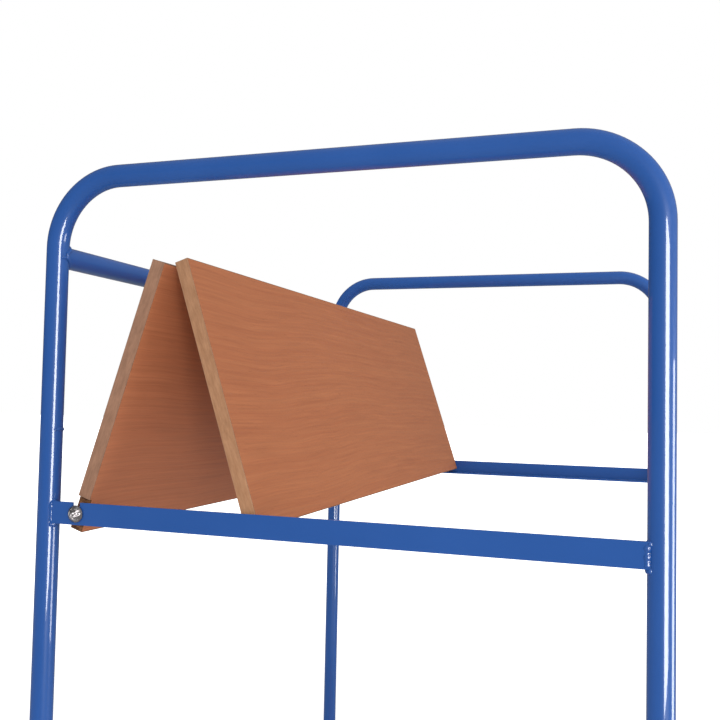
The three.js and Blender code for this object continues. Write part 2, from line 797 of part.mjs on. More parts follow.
// One swivel castor at the left end, trailing inward.
function swivelCastor(place, side) {
  const end = -1;
  const x = end * castorX;
  const y = side * castorY;
  return [
    piece(`swivel_plate_${place}`, swivelPlate(end, side), zincPlate),
    piece(`swivel_bearing_${place}`, swivelBearing().translate(x, y, 0), zincPlate),
    piece(`kingpin_${place}`, kingpin().translate(x, y, 0), zincPlate),
    piece(`swivel_fork_${place}`, swivelFork().translate(x, y, 0), zincPlate),
    piece(`brake_pedal_${place}`, brakePedal().translate(x, y, 0), zincPlate),
    ...wheelSet('swivel', place, x + swivelTrail, y),
  ];
}

// The side outline of a fixed bracket's leg, with the axle at X zero.
function bracketLegOutline() {
  const top = castorHeight;
  const outline = new THREE.Shape();
  outline.moveTo(-bracketLegHalfWidth, top);
  outline.lineTo(-forkEndRadius, axleZ);
  outline.absarc(0, axleZ, forkEndRadius, Math.PI, Math.PI * 2);
  outline.lineTo(bracketLegHalfWidth, top);
  outline.closePath();
  return outline;
}

// One fixed bracket: the plate and both legs are a single pressing.
function fixedBracket(end, side) {
  const size = [castorPlateLength, castorPlateWidth, castorPlateThickness, castorPlateRadius];
  const x = end * castorX;
  const y = side * castorY;
  const plate = roundedPlate(...size, x, y, castorHeight - castorPlateThickness);
  const legs = [-1, 1].map((legSide) => {
    const faces = [legSide * forkInnerHalf, legSide * forkOuterHalf].sort((a, b) => a - b);
    return plateAlongY(bracketLegOutline(), faces[0], faces[1], pinSides).translate(x, y, 0);
  });
  const reach = forkOuterHalf + cutOverrun;
  const axleHole = barY(at(x, y, axleZ), axleDiameter + 2 * seatGap, reach, pinSides);
  return carved(joined(plate, ...legs), axleHole, ...castorBoltHoles(end, side));
}

// One fixed castor at the right end.
function fixedCastor(place, side) {
  const end = 1;
  return [
    piece(`fixed_bracket_${place}`, fixedBracket(end, side), zincPlate),
    ...wheelSet('fixed', place, end * castorX, side * castorY),
  ];
}

// The front half of the shelf with its leaves, about the fold axis.
function shelfFront() {
  const group = new THREE.Group();
  const axis = at(0, 0, 0);
  group.add(shelfBoardFront());
  group.add(...hingeLeaves(-1, 'front', axis));
  group.position.copy(foldAxisInBack());
  group.rotation.x = 2 * tentAngle;
  return group;
}

// The whole shelf, about the pin axis, folded up to the tent's angle.
function shelf() {
  const group = new THREE.Group();
  const axis = foldAxisInBack();
  group.add(shelfBoardBack());
  group.add(pivotPin('pivot_pin_left', -1), pivotPin('pivot_pin_right', 1));
  group.add(pivotNut('pivot_nut_left', -1), pivotNut('pivot_nut_right', 1));
  group.add(...hingeLeaves(1, 'back', axis));
  group.add(...hingePins(axis));
  group.add(shelfFront());
  group.position.set(0, pinY, pinZ);
  group.rotation.x = -tentAngle;
  return group;
}

// The welded frame.
function frame() {
  const group = new THREE.Group();
  group.add(endBow('end_bow_left', -1), endBow('end_bow_right', 1));
  group.add(backTieTube());
  group.add(shelfRail('shelf_rail_left', -1), shelfRail('shelf_rail_right', 1));
  group.add(baseEndRail('base_end_rail_left', -1), baseEndRail('base_end_rail_right', 1));
  group.add(baseSideRail('base_side_rail_front', -1), baseSideRail('base_side_rail_back', 1));
  for (const [endName, end] of [['left', -1], ['right', 1]]) {
    for (const [sideName, side] of [['front', -1], ['back', 1]]) {
      group.add(cornerPlate(`corner_plate_${endName}_${sideName}`, end, side));
    }
  }
  return group;
}

// The four castors.
function castors() {
  const group = new THREE.Group();
  for (const [place, side] of [['front', -1], ['back', 1]]) {
    group.add(...swivelCastor(place, side));
    group.add(...fixedCastor(place, side));
  }
  return group;
}

const trolley = new THREE.Group();
trolley.add(frame(), shelf(), deckBoard(), castors());

export default trolley;
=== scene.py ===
"""Looks of the shelf trolley: its pieces and finishes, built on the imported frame."""

import json
import logging
import math
from dataclasses import dataclass, field
from enum import Enum
from typing import Any, Iterable, Sequence

import bmesh
import bpy
from bpy.types import Collection, Material, Mesh, Node, NodeSocket, NodeTree, Object
from mathutils import Matrix, Vector
from mathutils.geometry import tessellate_polygon

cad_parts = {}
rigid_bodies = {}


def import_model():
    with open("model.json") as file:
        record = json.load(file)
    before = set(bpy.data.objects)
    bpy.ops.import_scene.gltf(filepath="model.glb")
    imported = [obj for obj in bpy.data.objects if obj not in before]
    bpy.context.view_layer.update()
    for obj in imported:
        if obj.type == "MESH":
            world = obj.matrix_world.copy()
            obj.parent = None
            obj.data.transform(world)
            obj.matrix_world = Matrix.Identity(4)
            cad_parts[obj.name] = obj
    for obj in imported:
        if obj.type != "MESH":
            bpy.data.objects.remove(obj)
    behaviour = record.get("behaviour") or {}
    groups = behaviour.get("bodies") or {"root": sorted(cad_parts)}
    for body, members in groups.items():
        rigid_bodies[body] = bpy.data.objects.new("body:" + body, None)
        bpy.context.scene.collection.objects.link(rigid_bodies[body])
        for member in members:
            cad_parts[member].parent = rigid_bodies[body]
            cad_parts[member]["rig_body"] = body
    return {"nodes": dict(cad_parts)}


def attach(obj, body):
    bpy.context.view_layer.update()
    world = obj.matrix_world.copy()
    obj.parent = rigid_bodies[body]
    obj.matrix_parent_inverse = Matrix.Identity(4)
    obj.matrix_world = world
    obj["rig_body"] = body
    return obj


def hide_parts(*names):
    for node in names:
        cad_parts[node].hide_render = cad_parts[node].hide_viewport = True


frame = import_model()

LOG = logging.getLogger("shelf_trolley")
BEVEL_ANGLE = math.radians(35)
SHELF_TILT = math.radians(71.8)
SIDES = {"front": -1, "back": 1}
ENDS = {"left": -1, "right": 1}
CORNERS = [(end, x_sign, side, y_sign)
           for end, x_sign in ENDS.items() for side, y_sign in SIDES.items()]
FINE_RIPPLE = 0.0022
BOLT_CORE = 0.0003

Point2 = tuple[float, float]
Ring = list[Vector]


class Finish(Enum):
    """The finishes that the pieces wear."""

    COAT = "blue_powder_coat"
    WELD = "blue_coated_weld"
    DECOR_BACK = "beech_decor_back_half"
    DECOR_FRONT = "beech_decor_front_half"
    DECOR_DECK = "beech_decor_deck"
    BAND_FRONT = "edge_band_front_half"
    BAND_BACK = "edge_band_back_half"
    BAND_DECK = "edge_band_deck"
    CHIPBOARD = "raw_chipboard"
    BRIGHT = "bright_steel"
    ZINC = "zinc_plate"
    PLASTIC = "wheel_plastic"
    RUBBER = "tyre_rubber"


def srgb(*channels: int) -> tuple[float, ...]:
    """Turns a screen colour into a linear one.

    Args:
        *channels: Red, green and blue, 0 to 255.

    Returns:
        The linear colour with full alpha.
    """
    shares = [value / 255 for value in channels]
    return (*[s / 12.92 if s <= 0.04045 else ((s + 0.055) / 1.055) ** 2.4 for s in shares], 1.0)


# ---------------------------------------------------------------- node trees


class Graph:
    """Adds nodes to a tree and sets or links their inputs as they are made."""

    def __init__(self, tree: NodeTree) -> None:
        """Keeps the tree that the nodes go into."""
        self.tree = tree
        self.given: Any = None
        self.end: Any = None

    @classmethod
    def group(cls, name: str, inputs: dict[str, Any], outputs: Sequence[str]) -> "Graph":
        """Makes an empty node group; its named sockets become given and end.

        Args:
            name: The group's name.
            inputs: Start values by name, or None for a Vector, Geometry or Material.
            outputs: Names of the outputs.

        Returns:
            The group's graph.
        """
        graph = cls(bpy.data.node_groups.new(
            name, "GeometryNodeTree" if "Geometry" in inputs else "ShaderNodeTree"))
        rows = [(label, "INPUT", value) for label, value in inputs.items()]
        for label, way, value in rows + [(label, "OUTPUT", None) for label in outputs]:
            number = "Int" if isinstance(value, int) else "Float"
            sort = label if label in ("Vector", "Geometry", "Material") else number
            socket = graph.tree.interface.new_socket(label, in_out=way, socket_type=f"NodeSocket{sort}")
            if value is not None:
                socket.default_value = value
        graph.given = graph.add("NodeGroupInput").outputs
        graph.end = graph.add("NodeGroupOutput").inputs
        return graph

    def close(self, **values: Any) -> NodeTree:
        """Feeds the group's outputs.

        Args:
            **values: Sockets by the output's name.

        Returns:
            The group.
        """
        for name, value in values.items():
            self.feed(self.end[name], value)
        return self.tree

    def add(self, kind: str, inputs: dict | None = None, **settings: Any) -> Node:
        """Adds one node.

        Args:
            kind: The node's type name.
            inputs: Values or sockets by the input's name or number.
            **settings: The node's own properties.

        Returns:
            The new node.
        """
        node = self.tree.nodes.new(kind)
        for name, value in settings.items():
            setattr(node, name, value)
        for key, value in (inputs or {}).items():
            self.feed(node.inputs[key], value)
        return node

    def out(self, kind: str, inputs: dict | None = None, **settings: Any) -> NodeSocket:
        """Adds one node and returns its first output."""
        return self.add(kind, inputs, **settings).outputs[0]

    def feed(self, socket: NodeSocket, value: Any) -> None:
        """Links one or several sockets to an input, or sets the input's own value.

        Args:
            socket: The input.
            value: A socket, a list of sockets or a plain value.
        """
        if isinstance(value, (NodeSocket, list)):
            for source in value if isinstance(value, list) else [value]:
                self.tree.links.new(source, socket)
        else:
            socket.default_value = value

    def math(self, operation: str, *values: Any) -> NodeSocket:
        """Adds a Math node and returns its result."""
        return self.out("ShaderNodeMath", dict(enumerate(values)), operation=operation)

    def vector(self, operation: str, *values: Any, port: int = 0) -> NodeSocket:
        """Adds a Vector Math node and returns its vector, or at port 1 its value."""
        node = self.add("ShaderNodeVectorMath", dict(enumerate(values)), operation=operation)
        return node.outputs[port]

    def xyz(self, x: Any = 0.0, y: Any = 0.0, z: Any = 0.0) -> NodeSocket:
        """Joins three values in a vector."""
        return self.out("ShaderNodeCombineXYZ", {0: x, 1: y, 2: z})

    def span(self, value: Any, low: float, high: float, to_low: float = 0.0,
             to_high: float = 1.0) -> NodeSocket:
        """Maps a value from one range to another, held inside the second."""
        inputs = {0: value, 1: low, 2: high, 3: to_low, 4: to_high}
        return self.out("ShaderNodeMapRange", inputs, clamp=True)

    def blend(self, share: Any, first: Any, second: Any, mode: str = "MIX") -> NodeSocket:
        """Mixes two colours; the share is how much of the second one shows."""
        inputs = {0: share, 6: first, 7: second}
        return self.add("ShaderNodeMix", inputs, data_type="RGBA", blend_type=mode).outputs[2]

    def noise(self, vector: Any, scale: Any, detail: float = 2.0, rough: float = 0.5) -> NodeSocket:
        """Adds a noise texture and returns its value, which lies around one half."""
        inputs = {"Vector": vector, "Scale": scale, "Detail": detail, "Roughness": rough}
        return self.out("ShaderNodeTexNoise", inputs)


class Effects:
    """Shader node groups that several finishes share."""

    def __init__(self) -> None:
        """Builds each group once."""
        builders = (self.edge_wear, self.mottle, self.dust, self.wood_grain, self.scratches)
        self.trees = {build.__name__: build() for build in builders}

    def edge_wear(self) -> NodeTree:
        """A mask that is high along edges and broken up by noise.

        Returns:
            The group.
        """
        g = Graph.group("edge_wear", {"Vector": None, "Reach": 0.001, "Amount": 1.0}, ["Mask"])
        soft = g.out("ShaderNodeBevel", {"Radius": g.given["Reach"]}, samples=4)
        true = g.add("ShaderNodeNewGeometry").outputs["Normal"]
        edge = g.span(g.vector("DOT_PRODUCT", soft, true, port=1), 0.995, 0.86)
        broken = g.span(g.noise(g.given["Vector"], 260, 3), 0.4, 0.65)
        edge_tint = g.math("MULTIPLY", edge, g.math("MULTIPLY_ADD", broken, 0.7, 0.3))
        return g.close(Mask=g.math("MULTIPLY", edge_tint, g.given["Amount"]))

    def mottle(self) -> NodeTree:
        """Slow and fine colour changes, and the height of a sprayed surface.

        Returns:
            The group.
        """
        g = Graph.group("mottle", {"Vector": None, "Slow": 5.0, "Fine": 300.0, "Peel": 420.0},
                        ["Slow", "Fine", "Height"])
        slow = g.noise(g.given["Vector"], g.given["Slow"], 2)
        fine = g.noise(g.given["Vector"], g.given["Fine"], 3)
        peel = g.noise(g.given["Vector"], g.given["Peel"], 1, 0.3)
        return g.close(Slow=g.span(slow, 0.3, 0.7), Fine=g.span(fine, 0.3, 0.7), Height=peel)

    def dust(self) -> NodeTree:
        """A mask of fine dust on faces that look up.

        Returns:
            The group.
        """
        g = Graph.group("dust", {"Vector": None, "Amount": 0.2}, ["Mask"])
        normal = g.add("ShaderNodeNewGeometry").outputs["Normal"]
        up = g.span(g.add("ShaderNodeSeparateXYZ", {0: normal}).outputs[2], 0.45, 1.0)
        cloud = g.span(g.noise(g.given["Vector"], 14, 5, 0.6), 0.35, 0.8)
        return g.close(Mask=g.math("MULTIPLY", g.math("MULTIPLY", up, cloud), g.given["Amount"]))

    def wood_grain(self) -> NodeTree:
        """Printed beech: slow bands, fine fibres and short dark flecks along X.

        Returns:
            The group.
        """
        g = Graph.group("wood_grain", {"Vector": None, "Bands": 215.0, "Fibres": 460.0, "Flecks": 1.0},
                        ["Band", "Fibre", "Fleck"])
        bend = g.xyz(y=g.noise(g.given["Vector"], 2.2, 2))
        bent = g.vector("ADD", g.given["Vector"], g.vector("MULTIPLY", (0, 0.032, 0.0), bend))
        ripple = g.xyz(y=g.noise(g.vector("MULTIPLY", bent, (7, 7, 7)), 1.0, 2))
        bent = g.vector("ADD", bent, g.vector("MULTIPLY", (0.0, 0.005, 0.0), ripple))
        layers = (((1.3, 1, 1), 3, 0.55), (g.xyz(3.2, g.given["Bands"], 6.0), 4, 0.6),
                  (g.xyz(9.0, g.given["Fibres"], 30.0), 2, 0.6), ((42, 900, 60), 1, 0.4))
        slow, band, fibre, fleck = (g.noise(g.vector("MULTIPLY", bent, stretch), 1.0, detail, rough)
                                    for stretch, detail, rough in layers)
        band = g.math("MULTIPLY_ADD", slow, 0.25, g.math("MULTIPLY", band, 0.75))
        fleck = g.math("MULTIPLY", g.span(fleck, 0.66, 0.80), g.given["Flecks"])
        return g.close(Band=g.span(band, 0.30, 0.70), Fibre=g.span(fibre, 0.3, 0.7), Fleck=fleck)

    def scratches(self) -> NodeTree:
        """Fine crossed scratches, from stretched noise.

        Returns:
            The group.
        """
        g = Graph.group("scratches", {"Vector": None, "Scale": 60.0}, ["Mask"])
        layers = []
        for turn, stretch in ((0.4, (1, 26, 1)), (1.9, (30, 1, 1)), (2.6, (1, 1, 28))):
            inputs = {"Vector": g.given["Vector"], "Rotation": (turn, turn, turn), "Scale": stretch}
            spun = g.out("ShaderNodeMapping", inputs)
            layers.append(g.span(g.noise(spun, g.given["Scale"], 2), 0.6, 0.75))
        return g.close(Mask=g.math("MAXIMUM", g.math("MAXIMUM", layers[0], layers[1]), layers[2]))


class Paint(Graph):
    """A material's graph, with its shader, its coordinates and the shared effects."""

    def __init__(self, tree: NodeTree, effects: Effects) -> None:
        """Finds the shader and adds the coordinates."""
        super().__init__(tree)
        self.effects = effects
        self.shader = tree.nodes["Principled BSDF"]
        self.place = self.add("ShaderNodeTexCoord").outputs["Object"]

    def effect(self, name: str, **values: Any) -> Any:
        """Adds a shared effect with its inputs by name, and returns its outputs."""
        inputs = {"Vector": self.place, **values}
        return self.add("ShaderNodeGroup", inputs, node_tree=self.effects.trees[name]).outputs

    def settle(self, colour: Any, rough: Any, height: Any, strength: float, depth: float,
               **more: float) -> None:
        """Feeds the shader.

        Args:
            colour: The base colour.
            rough: The roughness.
            height: The height of the fine relief.
            strength: The relief's strength.
            depth: Its depth in metres.
            **more: The shader's other values, by name with _ for a space.
        """
        bump = self.out("ShaderNodeBump", {"Strength": strength, "Distance": depth, "Height": height})
        values = {"Base_Color": colour, "Roughness": rough, "Normal": bump, **more}
        for name, value in values.items():
            self.feed(self.shader.inputs[name.replace("_", " ")], value)


@dataclass(frozen=True)
class PowderCoat:
    """Glossy blue powder coat on steel, lighter blue along its edges: partly the thinner coat there and
    partly a painted edge highlight.
    """

    deep: tuple = (0.014, 0.086, 0.335, 1.0)
    pale: tuple = (0.018, 0.094, 0.356, 1.0)
    # lighter blue along the edges: thinner coat there, and a painted edge highlight
    edge_tint: tuple = (0.060, 0.165, 0.450, 1.0)
    dusty: tuple = srgb(190, 190, 186)
    roughness: float = 0.34
    peel_depth: float = 0.000008
    peel_scale: float = 240.0
    coat_roughness: float = 0.04

    def dress(self, p: Paint) -> None:
        """Feeds the shader.

        Args:
            p: The material's paint.
        """
        tone = p.effect("mottle", Slow=7.0, Fine=160.0, Peel=self.peel_scale)
        # the edge mask lays the lighter blue on the edges: a painted edge highlight as well as thinner
        # coat
        edge_share = p.effect("edge_wear", Reach=0.0009, Amount=0.5)[0]
        dust = p.effect("dust", Amount=0.10)[0]
        colour = p.blend(edge_share, p.blend(tone["Slow"], self.deep, self.pale), self.edge_tint)
        rough = p.math("MULTIPLY_ADD", tone["Fine"], 0.05, self.roughness - 0.025)
        p.settle(p.blend(dust, colour, self.dusty), p.math("MULTIPLY_ADD", dust, 0.5, rough),
                 tone["Height"], 1.0, self.peel_depth, Specular_IOR_Level=0.15, Coat_Weight=0.8,
                 Coat_Roughness=self.coat_roughness, Coat_IOR=1.5)


@dataclass(frozen=True)
class Decor:
    """Satin beech print on chipboard, its grain along the trolley."""

    tilt: float = 0.0
    shift: tuple = (0.0, 0.0, 0.0)
    light: tuple = srgb(173, 107, 68)
    dark: tuple = srgb(161, 94, 59)
    fleck: tuple = srgb(124, 70, 42)
    thread_low: tuple = (0.90, 0.89, 0.88, 1)
    thread_high: tuple = (1.07, 1.07, 1.07, 1)

    def dress(self, p: Paint) -> None:
        """Feeds the shader.

        Args:
            p: The material's paint.
        """
        turned = p.out("ShaderNodeMapping", {"Vector": p.place, "Rotation": (self.tilt, 0, 0),
                                             "Location": self.shift})
        grain = p.effect("wood_grain", Vector=turned)
        threads = p.blend(grain["Fibre"], self.thread_low, self.thread_high)
        colour = p.blend(1.0, p.blend(grain["Band"], self.light, self.dark), threads, "MULTIPLY")
        colour = p.blend(p.math("MULTIPLY", grain["Fleck"], 0.35), colour, self.fleck)
        height = p.math("MULTIPLY_ADD", grain["Fibre"], 0.6, p.math("MULTIPLY", grain["Fleck"], -0.8))
        p.settle(colour, p.math("MULTIPLY_ADD", grain["Fibre"], 0.10, 0.42), height, 0.6, 0.00004,
                 Specular_IOR_Level=0.3)


@dataclass(frozen=True)
class EdgeBand:
    """Thin edge band: a streaky, paler print than the faces, greyer along its edges."""

    tilt: float = 0.0
    light: tuple = srgb(157, 115, 83)
    dark: tuple = srgb(140, 99, 68)
    rim: tuple = srgb(129, 108, 95)
    grain_low: tuple = (0.91, 0.91, 0.91, 1)
    grain_high: tuple = (1.07, 1.07, 1.07, 1)

    def dress(self, p: Paint) -> None:
        """Feeds the shader.

        Args:
            p: The material's paint.
        """
        turned = p.out("ShaderNodeMapping", {"Vector": p.place, "Rotation": (self.tilt, 0, 0)})
        blotch = p.span(p.noise(p.vector("MULTIPLY", turned, (36, 36, 190)), 1.0, 4, 0.62), 0.34, 0.68)
        fine = p.span(p.noise(p.vector("MULTIPLY", turned, (160, 160, 900)), 1.0, 2), 0.3, 0.7)
        rim = p.effect("edge_wear", Reach=0.0014, Amount=0.8)[0]
        grain = p.blend(fine, self.grain_low, self.grain_high)
        colour = p.blend(1.0, p.blend(blotch, self.light, self.dark), grain, "MULTIPLY")
        p.settle(p.blend(rim, colour, self.rim), p.math("MULTIPLY_ADD", blotch, 0.14, 0.46), fine, 0.5,
                 0.00005)


@dataclass(frozen=True)
class Chipboard:
    """Sawn chipboard without a band."""

    light: tuple = srgb(124, 84, 52)
    dark: tuple = srgb(66, 38, 22)

    def dress(self, p: Paint) -> None:
        """Feeds the shader.

        Args:
            p: The material's paint.
        """
        flat = p.vector("MULTIPLY", p.place, (1.0, 0.6, 1.6))
        cells = p.add("ShaderNodeTexVoronoi", {"Vector": flat, "Scale": 420.0}).outputs
        tone = p.out("ShaderNodeSeparateXYZ", {0: cells["Color"]})
        p.settle(p.blend(tone, self.dark, self.light), p.math("MULTIPLY_ADD", tone, 0.15, 0.75),
                 cells["Distance"], 0.9, 0.0003)


@dataclass(frozen=True)
class Metal:
    """Bare or plated steel; on the bright steel the dark and pale patches are painted reflections."""

    light: tuple = (0.80, 0.82, 0.86, 1.0)
    dark: tuple = (0.62, 0.64, 0.68, 1.0)
    roughness: float = 0.30
    dent_scale: float = 60.0
    dent_depth: float = 0.0001
    scratch: float = 0.15
    patch_scale: float = 70.0
    metallic: float = 0.82
    edge_tint: tuple = (0.80, 0.81, 0.83, 1.0)

    def dress(self, p: Paint) -> None:
        """Feeds the shader.

        Args:
            p: The material's paint.
        """
        tone = p.effect("mottle", Slow=self.patch_scale, Fine=480.0, Peel=self.dent_scale)
        lines = p.effect("scratches", Scale=45.0)[0]
        edge_share = p.effect("edge_wear", Reach=0.0006, Amount=0.8)[0]
        rough = p.math("MULTIPLY_ADD", tone["Fine"], 0.12, self.roughness - 0.06)
        p.settle(p.blend(edge_share, p.blend(tone["Slow"], self.dark, self.light), self.edge_tint),
                 p.math("MULTIPLY_ADD", lines, self.scratch, rough),
                 p.math("MULTIPLY_ADD", lines, -0.1, tone["Height"]), 1.0, self.dent_depth,
                 Metallic=self.metallic)


@dataclass(frozen=True)
class Moulded:
    """Moulded plastic or rubber, with a fine texture and dust on faces that look up."""

    base: tuple = (0.024, 0.026, 0.030, 1.0)
    pale: tuple = (0.040, 0.043, 0.048, 1.0)
    roughness: float = 0.45
    texture: float = 1500.0
    depth: float = 0.00006
    dust: float = 0.25
    edge_tint: tuple = srgb(120, 122, 126)
    dusty: tuple = srgb(168, 164, 156)

    def dress(self, p: Paint) -> None:
        """Feeds the shader.

        Args:
            p: The material's paint.
        """
        tone = p.effect("mottle", Slow=24.0, Fine=420.0, Peel=self.texture)
        edge_share = p.effect("edge_wear", Reach=0.0015, Amount=0.6)[0]
        dust = p.effect("dust", Amount=self.dust)[0]
        colour = p.blend(tone["Slow"], self.base, self.pale)
        colour = p.blend(p.math("MULTIPLY", edge_share, 0.5), colour, self.edge_tint)
        rough = p.math("MULTIPLY_ADD", tone["Fine"], 0.16, self.roughness - 0.08)
        p.settle(p.blend(dust, colour, self.dusty), p.math("MULTIPLY_ADD", dust, 0.4, rough),
                 tone["Height"], 0.8, self.depth)


FINISHES: dict[Finish, Any] = {
    Finish.COAT: PowderCoat(),
    Finish.WELD: PowderCoat(roughness=0.42, peel_depth=0.00010, peel_scale=600.0, coat_roughness=0.16),
    # The back half's decor is a bluer, greyer copy of the front half's colours: painted shade tone for
    # the shade inside the fold.
    Finish.DECOR_BACK: Decor(SHELF_TILT, (0.4, 1.7, 0.0), srgb(176, 111, 76), srgb(164, 99, 67)),
    Finish.DECOR_FRONT: Decor(tilt=-SHELF_TILT),
    Finish.DECOR_DECK: Decor(shift=(0.9, 0.3, 0.2)),
    Finish.BAND_FRONT: EdgeBand(tilt=-SHELF_TILT),
    # The back half's band is a darker, greyer copy of the front half's: painted shade on the back
    # half's ends.
    Finish.BAND_BACK: EdgeBand(SHELF_TILT, srgb(145, 107, 84), srgb(127, 92, 71), srgb(117, 100, 91)),
    Finish.BAND_DECK: EdgeBand(),
    Finish.CHIPBOARD: Chipboard(),
    # bright steel: its dark and pale patches paint mottled reflections on the pin heads, beside the
    # real dents
    Finish.BRIGHT: Metal((0.60, 0.57, 0.58, 1.0), (0.36, 0.33, 0.33, 1.0), 0.15, 170.0, 0.0013, 0.10,
                         190.0, 1.0),
    Finish.ZINC: Metal(),
    Finish.PLASTIC: Moulded(),
    Finish.RUBBER: Moulded((0.085, 0.093, 0.102, 1.0), (0.115, 0.123, 0.132, 1.0), 0.66, 900.0, 0.0001,
                           0.3),
}


class Growers:
    """Geometry node trees for what repeats or follows a path."""

    def __init__(self) -> None:
        """Builds each tree once."""
        builders = (self.tube, self.weld, self.domes, self.screws, self.ribs)
        self.trees = {build.__name__: build() for build in builders}

    def start(self, name: str, sizes: dict[str, float]) -> Graph:
        """Opens a tree that takes a mesh, named sizes and a material."""
        return Graph.group(name, {"Geometry": None, **sizes, "Material": None}, ["Geometry"])

    def finish(self, g: Graph, geometry: Any, smooth: bool = True) -> NodeTree:
        """Ends a tree: its shading, realised instances and the material.

        Args:
            g: The tree's graph.
            geometry: What has grown.
            smooth: True for smooth shading.

        Returns:
            The tree.
        """
        shaded = g.out("GeometryNodeSetShadeSmooth", {"Geometry": geometry, "Shade Smooth": smooth})
        real = g.out("GeometryNodeRealizeInstances", {"Geometry": shaded})
        dressed = g.out("GeometryNodeSetMaterial", {"Geometry": real, "Material": g.given["Material"]})
        return g.close(Geometry=dressed)

    def scatter(self, g: Graph, shape: Any, smooth: bool = True) -> NodeTree:
        """Sets a shape on every point, its Z along the point's axis and turned by its turn.

        Args:
            g: The tree's graph.
            shape: The shape.
            smooth: True for smooth shading.

        Returns:
            The tree.
        """
        axis = g.out("GeometryNodeInputNamedAttribute", {"Name": "axis"}, data_type="FLOAT_VECTOR")
        turn = g.out("GeometryNodeInputNamedAttribute", {"Name": "turn"}, data_type="FLOAT")
        spin = g.out("FunctionNodeAxisAngleToRotation", {"Axis": (0, 0, 1), "Angle": turn})
        aim = g.out("FunctionNodeAlignRotationToVector", {"Vector": axis}, axis="Z")
        both = g.out("FunctionNodeRotateRotation", {0: aim, 1: spin}, rotation_space="LOCAL")
        return self.finish(g, g.out("GeometryNodeInstanceOnPoints", {
            "Points": g.given["Geometry"], "Instance": shape, "Rotation": both}), smooth)

    def swept(self, g: Graph, curve: Any, sides: Any, radius: Any, **more: Any) -> NodeTree:
        """Sweeps a circle along a curve, and closes its ends.

        Args:
            g: The tree's graph.
            curve: The curve.
            sides: The circle's steps.
            radius: Its radius.
            **more: Other inputs of the sweep.

        Returns:
            The tree.
        """
        ring = g.out("GeometryNodeCurvePrimitiveCircle", {"Resolution": sides, "Radius": radius},
                     mode="RADIUS")
        return self.finish(g, g.out("GeometryNodeCurveToMesh", {
            "Curve": curve, "Profile Curve": ring, "Fill Caps": True, **more}))

    def lifted(self, g: Graph, shape: Any, height: Any) -> NodeSocket:
        """Moves a shape up by a height."""
        return g.out("GeometryNodeTransform", {"Geometry": shape, "Translation": g.xyz(z=height)})

    def tube(self) -> NodeTree:
        """A round tube along a path of straight lines, with its corners bent.

        Returns:
            The tree.
        """
        g = self.start("bent_tube", {"Tube Radius": 0.015, "Bend Radius": 0.095, "Bend Steps": 24,
                                     "Sides": 48})
        path = g.out("GeometryNodeMeshToCurve", {"Mesh": g.given["Geometry"]})
        bent = g.out("GeometryNodeFilletCurve", {"Curve": path, "Count": g.given["Bend Steps"],
                                                 "Radius": g.given["Bend Radius"]}, mode="POLY")
        return self.swept(g, bent, g.given["Sides"], g.given["Tube Radius"])

    def weld(self) -> NodeTree:
        """A weld bead along a path: rippled, a little uneven, and thin at its ends.

        Returns:
            The tree.
        """
        g = self.start("weld_bead", {"Bead Radius": 0.0025, "Ripple": FINE_RIPPLE, "Ripple Depth": 0.10,
                                     "Seed": 0.0, "End Thinning": 1.0})
        path = g.out("GeometryNodeMeshToCurve", {"Mesh": g.given["Geometry"]})
        fine = g.out("GeometryNodeResampleCurve", {"Curve": path, "Length": 0.0006}, mode="LENGTH")
        spline = g.add("GeometryNodeSplineParameter").outputs
        turns = g.math("DIVIDE", spline["Length"], g.given["Ripple"])
        wave = g.math("SINE", g.math("MULTIPLY", turns, math.tau))
        place = g.vector("ADD", g.out("GeometryNodeInputPosition"), g.xyz(g.given["Seed"]))
        uneven = g.math("SUBTRACT", g.noise(place, 170, 2), 0.5)
        size = g.math("ADD", g.math("MULTIPLY", wave, g.given["Ripple Depth"]),
                      g.math("MULTIPLY_ADD", uneven, 0.5, 1.0))
        middle = g.math("ABSOLUTE", g.math("MULTIPLY_ADD", spline["Factor"], 2.0, -1.0))
        thin = g.math("MULTIPLY", g.math("POWER", middle, 10.0), g.given["End Thinning"])
        size = g.math("MULTIPLY", size, g.math("SUBTRACT", 1.0, g.math("MULTIPLY", thin, 0.75)))
        return self.swept(g, fine, 12, g.given["Bead Radius"], Scale=size)

    def domes(self) -> NodeTree:
        """Low round heads, as on coach bolts and rivets.

        Returns:
            The tree.
        """
        g = self.start("round_heads", {"Head Radius": 0.0095, "Head Height": 0.0034})
        ball = g.out("GeometryNodeMeshUVSphere", {"Segments": 32, "Rings": 16, "Radius": 1.0})
        size = g.xyz(g.given["Head Radius"], g.given["Head Radius"], g.given["Head Height"])
        low = g.out("GeometryNodeTransform", {"Geometry": ball, "Scale": size})
        spot = g.add("ShaderNodeSeparateXYZ", {0: g.out("GeometryNodeInputPosition")}).outputs
        flat = g.xyz(spot[0], spot[1], g.math("MAXIMUM", spot[2], 0.0))
        seated = g.out("GeometryNodeSetPosition", {"Geometry": low, "Position": flat})
        return self.scatter(g, g.out("GeometryNodeMergeByDistance", {"Geometry": seated,
                                                                     "Distance": 0.000002}))

